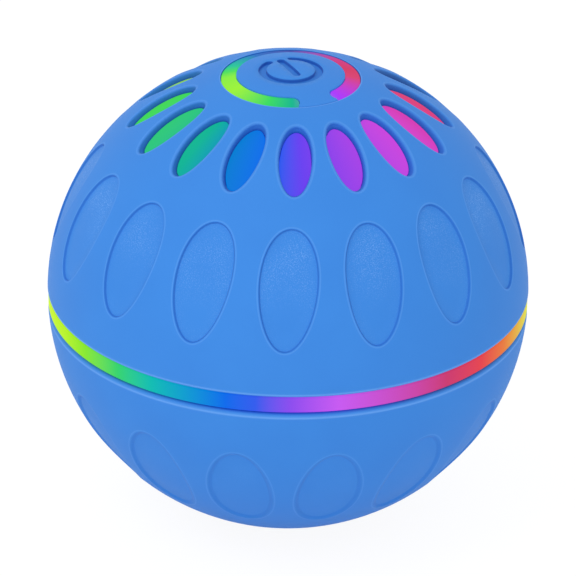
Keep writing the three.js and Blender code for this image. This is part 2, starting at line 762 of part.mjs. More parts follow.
function weightSolid() {
  const body = prism([
    ...arc(weight.radius, Math.PI + weight.shoulder, 2 * Math.PI - weight.shoulder, 12),
    ...arc(weight.hubRadius, radians(10), radians(170), 5),
  ], layer.weightInside, layer.weightOutside);
  const bore = cylinder(shaft.radius + runningGap, 0, layer.weightOutside + overrun);
  const screwGeometry = extrusion(circle(weight.screwRadius + runningGap, pinSides),
    shaft.radius, weight.hubRadius + overrun);
  screwGeometry.rotateX(-Math.PI / 2);
  screwGeometry.translate(0, 0, (layer.weightInside + layer.weightOutside) / 2);
  const pockets = [-1, 1].map((side) => cylinder(
    weight.pocketRadius, layer.weightOutside - weight.pocketDepth, layer.weightOutside + overrun,
    pinSides, [side * weight.radius / 2, -weight.radius / 2]));
  return cut(body, [bore, toSolid(screwGeometry), ...pockets]);
}

function weightScrew() {
  const geometry = extrusion(circle(weight.screwRadius, pinSides),
    shaft.radius + runningGap, weight.hubRadius);
  geometry.rotateX(-Math.PI / 2);
  geometry.translate(0, 0, (layer.weightInside + layer.weightOutside) / 2);
  return toSolid(geometry);
}

const clip = { outsideRadius: 3, openHalfAngle: radians(35) };

function shaftClip() {
  const from = clip.openHalfAngle;
  const to = 2 * Math.PI - clip.openHalfAngle;
  return prism([
    ...arc(clip.outsideRadius, from, to, 16),
    ...arc(shaft.radius + runningGap, to, from, 12),
  ], layer.clipInside, layer.clipOutside);
}

const collar = { radius: 3.2, length: 3 };

function shaftCollar() {
  const top = layer.wallInside - bush.flangeThickness - fitGap;
  return revolve([
    [shaft.radius + runningGap, top - collar.length],
    [collar.radius, top - collar.length],
    [collar.radius, top],
    [shaft.radius + runningGap, top],
  ]);
}

// Finishes

const blueRubber = { color: 0x3f86dd, roughness: 0.72, metalness: 0 };
const milkyPlastic = { color: 0xe9f2ee, roughness: 0.45, metalness: 0 };
const clearPlastic = { color: 0xb7c6e8, roughness: 0.2, metalness: 0 };
const whitePlastic = { color: 0xe4e6e8, roughness: 0.5, metalness: 0 };
const greyPlastic = { color: 0x3b4046, roughness: 0.55, metalness: 0 };
const gearPlastic = { color: 0xf1eee2, roughness: 0.4, metalness: 0 };
const boardGreen = { color: 0x1d5a38, roughness: 0.5, metalness: 0 };
const blackPlastic = { color: 0x17181a, roughness: 0.4, metalness: 0 };
const steel = { color: 0xb9bdc2, roughness: 0.3, metalness: 1 };
const brass = { color: 0xc9a04e, roughness: 0.35, metalness: 1 };
const zinc = { color: 0x8d9196, roughness: 0.5, metalness: 1 };
const foil = { color: 0xc4c8cf, roughness: 0.35, metalness: 0.7 };
const foam = { color: 0x2a2b2e, roughness: 0.95, metalness: 0 };

function piece(parent, name, solid, finish) {
  const data = solid.getMesh();
  const geometry = new THREE.BufferGeometry();
  geometry.setAttribute('position', new THREE.BufferAttribute(data.vertProperties, 3));
  geometry.setIndex(new THREE.BufferAttribute(data.triVerts, 1));
  geometry.computeVertexNormals();
  const mesh = new THREE.Mesh(geometry, new THREE.MeshStandardMaterial(finish));
  mesh.name = name;
  parent.add(mesh);
  return mesh;
}

// Assembly

const group = new THREE.Group();

piece(group, 'upper_cover', upperCover(), blueRubber);
piece(group, 'lower_cover', lowerCover(), blueRubber);
piece(group, 'button_tab', buttonTab(), blueRubber);
piece(group, 'charge_plug', chargePlug(), blueRubber);
piece(group, 'diffuser_dome', diffuserDome(), milkyPlastic);
piece(group, 'lower_bowl', lowerBowl(), whitePlastic);
piece(group, 'light_ring', lightRing(), clearPlastic);

piece(group, 'ring_light_board', ringBoardSolid(), boardGreen);
piece(group, 'control_board', controlBoardSolid(), boardGreen);
piece(group, 'control_chip', controlChip(), blackPlastic);
piece(group, 'motion_sensor', motionSensorSolid(), steel);
piece(group, 'switch_body', tactSwitch(), blackPlastic);
piece(group, 'switch_stem', switchStem(), blackPlastic);
piece(group, 'button_plunger', buttonPlunger(), whitePlastic);
piece(group, 'charge_board', chargeBoardSolid(), boardGreen);
piece(group, 'charge_socket', chargeSocket(), steel);
piece(group, 'battery', batteryCell(), foil);
piece(group, 'battery_pad', batteryPad(), foam);
piece(group, 'drive_frame', driveFrame(), greyPlastic);

shellScrew.places.forEach(([x, y], i) => {
  const mesh = piece(group, `shell_screw_${i + 1}`, screwSolid(screw, shellScrew.length), steel);
  mesh.position.set(x, y, shellScrew.seat - fitGap);
  mesh.rotation.x = Math.PI;
});
frameScrew.places.forEach(([x, y], i) => {
  const mesh = piece(group, `frame_screw_${i + 1}`, screwSolid(screw, frameScrew.length), steel);
  mesh.position.set(x, y, frameBase.top + fitGap);
});
controlBoard.screwPlaces.forEach(([x, y], i) => {
  const mesh = piece(group, `board_screw_${i + 1}`, screwSolid(smallScrew, controlBoard.screwLength), steel);
  mesh.position.set(x, y, controlBoard.bottom - fitGap);
  mesh.rotation.x = Math.PI;
});

// The drive's frame of reference: the shaft along its Z, which is the ball's X
const drive = new THREE.Group();
drive.rotation.set(Math.PI / 2, Math.PI / 2, 0);
group.add(drive);

piece(drive, 'gear_plate', gearPlate(), greyPlastic);
piece(drive, 'main_shaft', cylinder(shaft.radius, -shaft.halfLength, shaft.halfLength), steel);
piece(drive, 'output_gear', outputGear(), gearPlastic);
piece(drive, 'shaft_collar', shaftCollar(), brass).rotation.y = Math.PI;
piece(drive, 'right_bush', bushSolid(), brass);
piece(drive, 'left_bush', bushSolid(), brass).rotation.y = Math.PI;
piece(drive, 'right_weight', weightSolid(), zinc);
piece(drive, 'left_weight', weightSolid(), zinc).rotation.y = Math.PI;
piece(drive, 'right_weight_screw', weightScrew(), steel);
piece(drive, 'left_weight_screw', weightScrew(), steel).rotation.y = Math.PI;
piece(drive, 'right_shaft_clip', shaftClip(), steel);
piece(drive, 'left_shaft_clip', shaftClip(), steel).rotation.y = Math.PI;

const idlerGroup = new THREE.Group();
idlerGroup.position.set(...idlerAxis, 0);
drive.add(idlerGroup);
piece(idlerGroup, 'double_gear', doubleGear(), gearPlastic);
piece(idlerGroup, 'double_gear_pin', cylinder(
  idler.pinRadius, layer.plateBack, layer.wallOutside, pinSides), steel);

const motorGroup = new THREE.Group();
motorGroup.position.set(...motorAxis, 0);
drive.add(motorGroup);
piece(motorGroup, 'motor_can', motorCan(), steel);
piece(motorGroup, 'motor_end_cap', motorEndCap(), blackPlastic);
piece(motorGroup, 'motor_shaft', motorShaft(), steel);
piece(motorGroup, 'motor_pinion', motorPinion(), gearPlastic);
motorScrewPlaces().forEach(([x, y], i) => {
  const length = motor.screwLength + layer.plateFront - layer.plateBack;
  const mesh = piece(motorGroup, `motor_screw_${i + 1}`, screwSolid(smallScrew, length), steel);
  mesh.position.set(x, y, layer.plateFront + runningGap);
});
spacer.places.forEach(([x, y], i) => {
  const mesh = piece(drive, `gear_plate_screw_${i + 1}`, screwSolid(screw, spacer.screwLength), steel);
  mesh.position.set(x, y, layer.wallOutside + runningGap);
});

export default group;
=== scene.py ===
"""Automatic jumping dog ball: the finished look of its pieces, built round the fixed frame.

Two soft blue covers with oval slots and shallow dimples hold a lit dome and a lit ring. Lengths are
in metres. The ball's centre is the origin, +Z runs up through the button, and the button's bridge
is on the -Y side. Longitudes are counted from +X towards +Y.
"""

import json
import math

import bmesh
import bpy
from bpy.props import FloatProperty, FloatVectorProperty, IntProperty, PointerProperty
from mathutils import Matrix, Vector
from mathutils.geometry import delaunay_2d_cdt


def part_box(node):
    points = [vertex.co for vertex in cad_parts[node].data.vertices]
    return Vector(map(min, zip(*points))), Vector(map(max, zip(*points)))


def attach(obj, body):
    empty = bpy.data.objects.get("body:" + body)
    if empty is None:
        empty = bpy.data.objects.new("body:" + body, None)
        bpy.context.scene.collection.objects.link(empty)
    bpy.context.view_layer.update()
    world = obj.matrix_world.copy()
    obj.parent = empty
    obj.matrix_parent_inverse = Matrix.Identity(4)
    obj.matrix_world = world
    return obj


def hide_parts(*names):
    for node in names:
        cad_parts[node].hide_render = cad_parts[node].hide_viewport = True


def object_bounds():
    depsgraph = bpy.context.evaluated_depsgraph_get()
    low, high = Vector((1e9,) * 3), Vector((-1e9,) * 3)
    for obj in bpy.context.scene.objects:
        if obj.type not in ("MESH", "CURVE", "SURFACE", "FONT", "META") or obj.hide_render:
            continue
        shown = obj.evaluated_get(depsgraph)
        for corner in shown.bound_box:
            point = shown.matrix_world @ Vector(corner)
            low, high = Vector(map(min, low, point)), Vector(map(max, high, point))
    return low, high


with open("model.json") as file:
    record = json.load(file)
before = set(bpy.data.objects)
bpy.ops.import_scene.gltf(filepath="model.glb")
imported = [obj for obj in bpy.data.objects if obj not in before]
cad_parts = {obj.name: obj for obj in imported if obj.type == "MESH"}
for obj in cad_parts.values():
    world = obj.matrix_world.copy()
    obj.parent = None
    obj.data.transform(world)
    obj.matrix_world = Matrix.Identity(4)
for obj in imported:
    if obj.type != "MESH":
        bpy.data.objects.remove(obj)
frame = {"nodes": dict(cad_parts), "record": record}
CAD_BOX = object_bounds()

bl_info = {
    "name": "Lit Dog Ball",
    "version": (1, 0, 0),
    "blender": (4, 5, 0),
    "location": "3D View > Sidebar > Dog Ball",
    "description": "Finished pieces of a self-rolling dog ball with lit slots",
    "category": "Object",
}

# Places that every piece is built round

MM = 0.001
BALL_RADIUS = CAD_BOX[1][2]
GROUND = CAD_BOX[0][2]
HINGE = math.radians(-90)
VIEW_LONGITUDE = math.radians(-115)
QUARTER_TURN = math.pi / 2
FULL_TURN = 2 * math.pi

# How finely the pieces are drawn. Margins and the stagger of every second row are in grid steps

ROUND_STEPS = 5
OVAL_POINTS = 64
SLICE_STEPS = 10
C_STEPS = 110
CAP_STEPS = 12
BAR_STEPS = 12
DOME_SIDES = 128
DOME_ROWS_OUTSIDE = 44
DOME_ROWS_INSIDE = 30
RING_SLICES = 16
PLUG_SIDES = 96
BUTTON_GRID = 0.9 * MM
BUTTON_SPOKES = 6
SYMBOL_CLEARANCE = 0.4 * MM
DIMPLE_MARGIN = 0.8
SLOT_MARGIN = 0.96
STAGGER = 0.25
NARROWEST = 0.5
MITRE_LIMIT = 0.5
SLOPE_SHARES = (0, 0.12, 0.28, 0.5, 0.72, 0.88, 1)
MAP_TOLERANCE = 1e-9
SAME_RADIUS = 0.001 * MM
JOIN_DISTANCE = 0.004 * MM

# Fixed sizes of the pieces

LIP_WIDTH = 0.16 * MM
BRIDGE_CORNER = math.radians(60)
DOME_BOTTOM = 0.4 * MM
DOME_CAP = math.radians(21)
RING_INSIDE = 34.9 * MM
WEB_TOP = 0.1 * MM
WEB_BOTTOM = -1.1 * MM
PLUG_THICKNESS = 1 * MM
PLUG_NOTCH = 1.6 * MM
NOTCH_FLOOR = 0.02 * MM
NIB_HALF_WIDTH = 3.85 * MM
NIB_HALF_HEIGHT = 0.95 * MM

# Marks of painted shade on walls, of painted highlights along edges, and of grain. Each row along a
# cover's edge has a painted highlight share and a painted shade share

RIM_SHADE = 0.5
EDGE_GRAIN = 0.3
SYMBOL_FLOOR_SHADE = 0.25
EDGE_HIGHLIGHT_AND_SHADE = [(0, 0), (0.6, 0), (0.15, 0), (0, 0.1), (0, 0.3), (0, 0.6), (0, 1)]

# Radii between which the button's glow gives way to the slots' glow, and what lies under a glow

BUTTON_GLOW_REACH = 12.2 * MM
SLOT_GLOW_START = 12.8 * MM
LIT_BODY = (0.08, 0.08, 0.08, 1)
DOME_GRAIN = 0.5 * MM
RING_GRAIN = 0.8 * MM

# The stage. A lamp has a name, a turn from the camera, a distance, a height, a width and a power

FLOOR_HALF_WIDTH = 1.6
FLOOR_GLOW = 0.92
FLOOR_SHADOW = (0.12, 0.12, 0.12, 1)
FLOOR_COLOUR = (0.9, 0.9, 0.9, 1)
WHITE = (1, 1, 1, 1)
SKY_LIGHT = 0.86
LAMPS = [
    ("key_softbox", math.radians(-50), 0.55, 0.75, 0.45, 1.7),
    ("low_softbox", 0, 0.8, 0.12, 0.5, 0.9),
]
ELEVATION = math.radians(27.04)
CAMERA_DISTANCE = 0.7128
CAMERA_ROLL = math.radians(0.74)
FOCAL_LENGTH = 267.4
SENSOR_WIDTH = 36

# Glows as gradients: places round the ball, in degrees from the camera's side, and their colours

BAND_COLOURS = [
    (-90, "D6F010"), (-65, "B4F114"), (-55, "85E728"), (-43, "32D36C"), (-33, "06BCB1"),
    (-14, "076AEB"), (-7, "335CED"), (1, "8C4CEE"), (12, "C75AF1"), (40, "CB3A71"),
    (52, "E5424C"), (62, "E87939"), (76, "DDC940"), (90, "D6F010"),
]
SLOT_COLOURS = [
    (-180, "E0CD5B"), (-157, "D9E071"), (-132, "C9E860"), (-110, "72CC4D"), (-91, "3FD854"),
    (-45, "0CB496"), (-26, "017DD3"), (-12, "0B6EED"), (-4, "315AF0"), (5, "6941F0"),
    (58, "D147DC"), (91, "DC3685"), (116, "E05F36"), (180, "E0CD5B"),
]
BUTTON_COLOURS = [
    (-180, "3645A5"), (-146, "0C68C0"), (-113, "10C396"), (-100, "47DD57"), (-88, "86EC40"),
    (-60, "9CF236"), (-20, "39DB60"), (2, "0BB68D"), (47, "AA38FC"), (91, "D83E71"),
    (109, "D33362"), (132, "CB2E81"), (160, "8C49B2"), (180, "3645A5"),
]

# Finishes of the inner pieces, by the record's slots: colour, its darker cloud, roughness, metal

INNER_FINISHES = {
    "white_plastic": ("E4E6E8", "D6D9DC", 0.5, 0.0),
    "grey_plastic": ("3B4046", "30353A", 0.55, 0.0),
    "gear_plastic": ("F1EEE2", "E4DFCE", 0.4, 0.0),
    "green_board": ("1D5A38", "15482C", 0.45, 0.0),
    "black_plastic": ("17181A", "222427", 0.4, 0.0),
    "bright_steel": ("B9BDC2", "A2A7AD", 0.3, 1.0),
    "brass": ("C9A04E", "B0893C", 0.34, 1.0),
    "cast_zinc": ("8D9196", "74787D", 0.5, 1.0),
    "battery_foil": ("C4C8CF", "AEB3BC", 0.35, 0.7),
    "dark_foam": ("2A2B2E", "1D1E20", 0.95, 0.0),
}


def length(name, description, millimetres):
    return FloatProperty(
        name=name, description=description, default=millimetres * MM, unit="LENGTH", precision=5)


def angle(name, description, degrees):
    return FloatProperty(
        name=name, description=description, default=math.radians(degrees), subtype="ANGLE")


def amount(name, description, default):
    return FloatProperty(name=name, description=description, default=default)


def shade(name, description, colour):
    return FloatVectorProperty(
        name=name, description=description, default=linear(colour), size=4, subtype="COLOR",
        min=0, max=1)


def linear(colour):
    """A web colour such as 4A8CE0 as linear red, green, blue and full alpha."""
    parts = [int(colour[i:i + 2], 16) / 255 for i in (0, 2, 4)]
    values = [p / 12.92 if p <= 0.04045 else ((p + 0.055) / 1.055) ** 2.4 for p in parts]
    return (*values, 1.0)


# Sizes and colours that a user would change

class CoverSizes(bpy.types.PropertyGroup):
    ball_radius: length("Ball radius", "Outer radius of the soft covers", BALL_RADIUS / MM)
    wall: length("Wall", "Thickness of the soft covers", 2.3)
    fit_gap: length("Fit gap", "Gap between the covers and the hard ball", 0.3)
    band_top: length("Band top", "Height of the upper cover's lower edge", 0.9)
    band_bottom: length("Band bottom", "Height of the lower cover's upper edge", -2.15)
    upper_edge: length("Upper cover's edge", "Rounding along the upper cover's lower edge", 0.3)
    lower_edge: length("Lower cover's edge", "Rounding along the lower cover's upper edge", 0.75)
    opening_radius: length("Button opening", "Radius of the opening round the button", 11.4)
    opening_edge: length("Opening's edge", "Rounding along the edge of that opening", 0.12)
    foot_radius: length("Plug opening", "Radius of the opening in the foot", 6.6)
    foot_edge: length("Foot's edge", "Rounding along both edges of the foot", 0.35)
    upper_count: IntProperty(
        name="Upper ovals", description="Slots and dimples round the upper cover", default=16)
    lower_count: IntProperty(
        name="Lower ovals", description="Dimples round the lower cover", default=15)
    grid: length("Grid", "Distance between the points of the covers' surface", 1.5)


class SlotSizes(bpy.types.PropertyGroup):
    latitude: angle("Latitude", "Latitude of the middle of a slot", 57.7)
    twist: angle("Twist", "Turn of the ring of slots about the pole", 0)
    lean: angle("Lean", "Clockwise lean of a slot", 3.7)
    egg: amount("Egg", "How much a slot narrows downwards", 0.0)
    half_width: length("Half width", "Half the width of a slot at its lens", 2.58)
    half_length: length("Half length", "Half the length of a slot at its lens", 6.05)
    flare_width: length("Flare across", "How much wider a slot is at its mouth, on each side", 0.06)
    flare_length: length("Flare along", "How much longer a slot is at its mouth, at each end", 0.45)
    rim: length("Rim", "Rounding of a slot's rim", 0.5)
    # A painted highlight along a slot's rounded rim
    lip: amount("Lip", "How pale the line round a slot is", 0.2)
    lens_recess: length("Lens recess", "How far the lit lens lies below the cover", 1.0)
    lens_gap: length("Lens gap", "Gap round the lit lens", 0.1)
    lens_edge: length("Lens edge", "Rounding along the lens's edge", 0.12)


class UpperDimpleSizes(bpy.types.PropertyGroup):
    latitude: angle("Latitude", "Latitude of the middle of an upper dimple", 26.3)
    twist: angle("Twist", "Turn of the ring of upper dimples about the pole", -2.4)
    lean: angle("Lean", "Clockwise lean of an upper dimple", 3.7)
    egg: amount("Egg", "How much an upper dimple narrows downwards", 0.09)
    half_width: length("Half width", "Half the width of an upper dimple", 4.6)
    half_length: length("Half length", "Half the length of an upper dimple", 9.7)
    depth: length("Depth", "Depth of an upper dimple", 0.4)
    slope: length("Slope", "Width of the step round an upper dimple", 0.35)
    # The next two are painted shade on the step round an upper dimple and a painted highlight just
    # outside it
    line: amount("Line", "How dark the step round an upper dimple is", 0.6)
    lip: amount("Lip", "How pale the line round an upper dimple is", 0.28)
    grain: amount("Grain", "How much pale grain an upper dimple's floor has", 1.0)


class LowerDimpleSizes(bpy.types.PropertyGroup):
    latitude: angle("Latitude", "Latitude of the middle of a lower dimple", -30.3)
    twist: angle("Twist", "Turn of the ring of lower dimples about the pole", 10.7)
    lean: angle("Lean", "Clockwise lean of a lower dimple", 1.3)
    egg: amount("Egg", "How much a lower dimple narrows downwards", 0.0)
    half_width: length("Half width", "Half the width of a lower dimple", 5)
    half_length: length("Half length", "Half the length of a lower dimple", 9.9)
    depth: length("Depth", "Depth of a lower dimple", 0.4)
    slope: length("Slope", "Width of the step round a lower dimple", 0.9)
    # The next two are painted shade on the step round a lower dimple and a painted highlight just
    # outside it
    line: amount("Line", "How dark the step round a lower dimple is", 0.2)
    lip: amount("Lip", "How pale the line round a lower dimple is", 0.25)
    grain: amount("Grain", "How much pale grain a lower dimple's floor has", 0.15)


class ButtonSizes(bpy.types.PropertyGroup):
    radius: length("Radius", "Radius of the button", 8.85)
    seam: length("Seam", "Seam between the button's bridge and the cover", 0.03)
    thickness: length("Thickness", "Thickness of the button", 1.2)
    bridge_taper: length("Bridge taper", "How much shorter the bridge is at its underside", 0.12)
    bridge_half_angle: angle("Bridge half angle", "Half the angle that the bridge takes up", 23.6)
    edge: length("Edge", "Rounding along the button's edge", 0.15)
    symbol_radius: length("Symbol radius", "Middle radius of the symbol's ring", 4.6)
    symbol_stroke: length("Symbol stroke", "Width of the symbol's lines", 1.25)
    symbol_depth: length("Symbol depth", "Depth of the symbol", 0.6)
    symbol_slope: length("Symbol slope", "Width of the step round the symbol", 0.14)
    symbol_gap: angle("Symbol gap", "Half the angle of the gap in the symbol's ring", 26)
    bar_bottom: length("Bar bottom", "Where the symbol's bar starts", -2.2)
    bar_top: length("Bar top", "Where the symbol's bar ends", 3.9)


class GlowSizes(bpy.types.PropertyGroup):
    dome_wall: length("Dome wall", "Thickness of the lit dome", 1.8)
    rib_inset: length("Rib inset", "Gap between the dome's C-shaped rib and its slot", 0.1)
    rib_recess: length("Rib recess", "How far the rib's top lies below the covers", 0.16)
    rib_edge: length("Rib edge", "Rounding along the rib's top", 0.08)
    ring_recess: length("Ring recess", "How far the ring lies below the covers", 0.12)
    ring_round: length("Ring round", "Rounding along the ring's outer edges", 0.2)
    gap_above: length("Gap above", "Gap between the ring and the upper cover", 0.25)
    gap_below: length("Gap below", "Gap between the ring and the lower cover", 0.28)
    plug_gap: length("Plug gap", "Gap round the charging plug", 0.3)
    plug_edge: length("Plug edge", "Rounding along the plug's edge", 0.25)


class RubberColours(bpy.types.PropertyGroup):
    main: shade("Main", "Soft covers", "3B87DD")
    deep: shade("Deep", "Darker cloudiness in the covers", "3681D8")
    # Painted shade: the colour that the walls of slots, of the symbol, of dimple steps and of the
    # covers' edges are darkened towards
    wall_shade: shade("Walls", "Walls of the slots and of the symbol", "1F5DB8")
    # Painted highlight: the colour that rounded edges are lightened towards
    highlight_paint: shade("Lips", "Pale lines along the edges", "74ACF4")
    pale_grain: shade("Bloom", "Fine pale grain on the dimples' floors", "7FB0F0")
    grain_size: length("Grain size", "Size of the rubber's grain", 0.16)


# Points

def polar(radius, longitude, height):
    return Vector((radius * math.cos(longitude), radius * math.sin(longitude), height))


def ball_point(radius, colatitude, longitude, pole=1):
    """A point of a ball, counted from its upper pole, or from its lower pole where pole is -1."""
    return polar(radius * math.sin(colatitude), longitude, pole * radius * math.cos(colatitude))


def lifted(points, radius):
    """Flat points, carried straight up onto a ball."""
    return [Vector((x, y, math.sqrt(radius ** 2 - x ** 2 - y ** 2))) for x, y in points]


def spread(start, end, count):
    return [start + (end - start) * i / count for i in range(count + 1)]


def ball_width(radius, height):
    return math.sqrt(radius ** 2 - height ** 2)


def round_over(edge):
    """Insets and depths along a rounded edge, from the flat top to the upright wall."""
    turns = spread(0, QUARTER_TURN, ROUND_STEPS)
    return [(edge * (1 - math.sin(turn)), edge * (1 - math.cos(turn))) for turn in turns]


def slope_steps(width, depth):
    """Offsets, depths, shares of the fall and steepness down a smooth step."""
    for share in SLOPE_SHARES:
        fall = (1 - math.cos(math.pi * share)) / 2
        yield width * (0.5 - share), depth * fall, fall, math.sin(math.pi * share)


# Skins: points and faces that are collected ring by ring

class Skin:
    """The points and faces of a skin, and how much of a floor, a wall and a lip each point is.

    Rubber is grainy on a floor, darkened by painted shade on a wall, and lightened by a painted
    highlight along a rounded edge.
    """

    def __init__(self, pole=1):
        self.pole = pole
        self.points = []
        self.faces = []
        self.marks = {"floor": [], "wall": [], "lip": []}

    def add(self, points, **marks):
        start = len(self.points)
        self.points.extend(points)
        for name, values in self.marks.items():
            values.extend([marks.get(name, 0.0)] * len(points))
        return list(range(start, len(self.points)))

    def strip(self, first, second, closed=True):
        """Four-sided faces between two rows with as many points."""
        last = len(first) if closed else len(first) - 1
        for i in range(last):
            j = (i + 1) % len(first)
            self.faces.append((first[i], first[j], second[j], second[i]))

    def strips(self, rows, closed=True):
        for first, second in zip(rows, rows[1:]):
            self.strip(first, second, closed)

    def flat(self, index):
        """A point on an even map of the ball, seen from outside its pole."""
        x, y, z = self.points[index]
        colatitude = math.atan2(math.hypot(x, y), self.pole * z)
        longitude = math.atan2(y, x)
        return Vector((colatitude * math.cos(longitude), colatitude * math.sin(longitude)))

    def fill(self, outline, holes=(), creases=(), scattered=()):
        """Triangles inside an outline and outside its holes, which follow every crease."""
        rings = [outline, *holes, *creases]
        used = [index for ring in rings for index in ring] + list(scattered)
        flats = [self.flat(index) for index in used]
        edges = []
        start = 0
        for ring in rings:
            count = len(ring)
            edges += [(start + i, start + (i + 1) % count) for i in range(count)]
            start += count
        result = delaunay_2d_cdt(flats, edges, [], 0, MAP_TOLERANCE, True)
        places, triangles, origins = result[0], result[2], result[3]
        outer = [self.flat(index) for index in outline]
        inner = [[self.flat(index) for index in hole] for hole in holes]
        for triangle in triangles:
            middle = sum((places[corner] for corner in triangle), Vector((0, 0))) / 3
            if inside(middle, outer) and not any(inside(middle, hole) for hole in inner):
                self.faces.append(tuple(used[origins[corner][0]] for corner in triangle))

    def build(self, name, closed=True):
        """A piece with this skin. One slice of a pattern isn't closed, and is settled later."""
        mesh = bpy.data.meshes.new(name)
        mesh.from_pydata([tuple(point) for point in self.points], [], self.faces)
        for mark, values in self.marks.items():
            mesh.attributes.new(mark, "FLOAT", "POINT").data.foreach_set("value", values)
        piece = placed_object(name, mesh)
        if closed:
            settle(piece)
        return piece


def placed_object(name, data):
    made = bpy.data.objects.new(name, data)
    bpy.context.scene.collection.objects.link(made)
    return made


def inside(point, ring):
    """Whether a point of the map lies inside a closed ring of points."""
    crossings = False
    x, y = point
    for a, b in zip(ring, ring[1:] + ring[:1]):
        if (a.y > y) != (b.y > y) and x < a.x + (y - a.y) * (b.x - a.x) / (b.y - a.y):
            crossings = not crossings
    return crossings


def settle(piece):
    """Turns every face outwards and shades the piece smooth, exactly so where it follows a ball."""
    mesh = bmesh.new()
    mesh.from_mesh(piece.data)
    bmesh.ops.recalc_face_normals(mesh, faces=mesh.faces)
    mesh.normal_update()
    normals = []
    for point in mesh.verts:
        radius = point.co.length
        steps = [abs(edge.other_vert(point).co.length - radius) for edge in point.link_edges]
        follows_ball = steps and max(steps) < SAME_RADIUS
        radial = point.co.normalized()
        if radial.dot(point.normal) < 0:
            radial.negate()
        normals.append(radial if follows_ball else point.normal.copy())
    mesh.to_mesh(piece.data)
    mesh.free()
    piece.data.shade_smooth()
    piece.data.normals_split_custom_set_from_vertices(normals)


# Ovals, drawn on a plane that touches the ball and carried straight down onto it

def oval_axes(oval, longitude):
    """The directions out, east and north at an oval's middle."""
    out = polar(math.cos(oval.latitude), longitude, math.sin(oval.latitude))
    east = polar(1, longitude + QUARTER_TURN, 0)
    return out, east, out.cross(east)


def oval_point(half_width, half_length, egg, turn, offset):
    """A flat point of an oval that is grown by an offset. An egg narrows downwards."""
    across = half_length * math.cos(turn)
    along = half_width * math.sin(turn)
    size = math.hypot(across, along)
    x = half_width * (1 + egg * math.sin(turn)) * math.cos(turn) + offset * across / size
    y = half_length * math.sin(turn) + offset * along / size
    return x, y


def oval_ring(oval, longitude, offset, radius, flare=0):
    """An oval on a ball of a radius, leaning clockwise. A flare of 1 is its mouth."""
    half_width, half_length = oval.half_width, oval.half_length
    if flare:
        half_width += flare * oval.flare_width
        half_length += flare * oval.flare_length
    out, east, north = oval_axes(oval, longitude)
    ring = []
    for step in range(OVAL_POINTS):
        turn = FULL_TURN * step / OVAL_POINTS
        x, y = oval_point(half_width, half_length, oval.egg, turn, offset)
        leaning = Matrix.Rotation(-oval.lean, 2) @ Vector((x, y))
        height = math.sqrt(radius ** 2 - x ** 2 - y ** 2)
        ring.append(out * height + east * leaning.x + north * leaning.y)
    return ring


def oval_reach(oval, longitude, point):
    """How far out a point lies on an oval's plane, and how far along it. 1 is the oval's edge."""
    out, east, north = oval_axes(oval, longitude)
    if point.dot(out) < 0:
        return math.inf, 0.0
    flat = Matrix.Rotation(oval.lean, 2) @ Vector((point.dot(east), point.dot(north)))
    along = flat.y / oval.half_length
    narrowing = max(1 + oval.egg * along, NARROWEST)
    return math.hypot(flat.x / (oval.half_width * narrowing), along), along


def add_slot(skin, slot, longitude, outside, cover_inside):
    """The rounded rim and flared wall of a slot. Returns its outer and inner rings."""
    rows = [skin.add(oval_ring(slot, longitude, slot.rim + LIP_WIDTH, outside, 1))]
    for inset, depth in round_over(slot.rim):
        # Painted shade grows down the rim and is full on the wall below it, and a painted highlight
        # lightens the rim's top
        ring = oval_ring(slot, longitude, inset, outside - depth, 1)
        wall = RIM_SHADE * (1 - inset / slot.rim) ** 2
        rows.append(skin.add(ring, wall=wall, lip=slot.lip * (1 - depth / slot.rim) ** 2))
    for flare in (0.5, 0):
        depth = slot.lens_recess - flare * (slot.lens_recess - slot.rim)
        wall = 1 - flare * (1 - RIM_SHADE)
        rows.append(skin.add(oval_ring(slot, longitude, 0, outside - depth, flare), wall=wall))
    rows.append(skin.add(oval_ring(slot, longitude, 0, cover_inside), wall=1))
    skin.strips(rows)
    return rows[0], rows[-1]


def add_dimple(skin, dimple, longitude, outside):
    """The creases of a dimple's slope, which the surface between them follows."""
    half = dimple.slope / 2
    beyond = oval_ring(dimple, longitude, half + 2 * LIP_WIDTH, outside)
    # A painted highlight lightens the ring just outside the step, and painted shade darkens the
    # step where it is steepest
    lip = oval_ring(dimple, longitude, half + LIP_WIDTH, outside)
    creases = [skin.add(beyond), skin.add(lip, lip=dimple.lip)]
    for offset, depth, fall, steepness in slope_steps(dimple.slope, dimple.depth):
        ring = oval_ring(dimple, longitude, offset, outside - depth)
        floor = fall * dimple.grain * EDGE_GRAIN
        creases.append(skin.add(ring, floor=floor, wall=dimple.line * steepness))
    return creases


# Covers: one slice of the pattern, repeated round the ball

def cover_slice(sizes, pole, count, middle, ovals, outer_edge, pole_edge):
    """One slice of a cover. Its edges are rows of radius and height, from outside to inside."""
    half = math.pi / count
    longitudes = spread(middle - half, middle + half, SLICE_STEPS)
    cover_inside = sizes.ball_radius - sizes.wall
    skin = Skin(pole)

    def edge_rows(edge):
        rows = []
        for order, (radius, height) in enumerate(edge):
            # A painted highlight on the edge's rounding, then painted shade that deepens into the
            # gap and is full in rows past the table's end
            lip, wall = EDGE_HIGHLIGHT_AND_SHADE[min(order, len(EDGE_HIGHLIGHT_AND_SHADE) - 1)]
            points = [polar(radius, longitude, height) for longitude in longitudes]
            rows.append(skin.add(points, lip=lip, wall=wall))
        skin.strips(rows, closed=False)
        return rows

    outer_rows = edge_rows(outer_edge)
    pole_rows = edge_rows(pole_edge)
    holes_outside = []
    holes_inside = []
    creases = []
    for oval, longitude, is_slot in ovals:
        if is_slot:
            first, last = add_slot(skin, oval, longitude, sizes.ball_radius, cover_inside)
            holes_outside.append(first)
            holes_inside.append(last)
        else:
            creases += add_dimple(skin, oval, longitude, sizes.ball_radius)

    sheet(skin, sizes.ball_radius, sizes.grid, longitudes, outer_rows[0], pole_rows[0],
          holes_outside, creases, ovals)
    sheet(skin, cover_inside, 2 * sizes.grid, longitudes, outer_rows[-1], pole_rows[-1],
          holes_inside, [], ovals)
    return skin


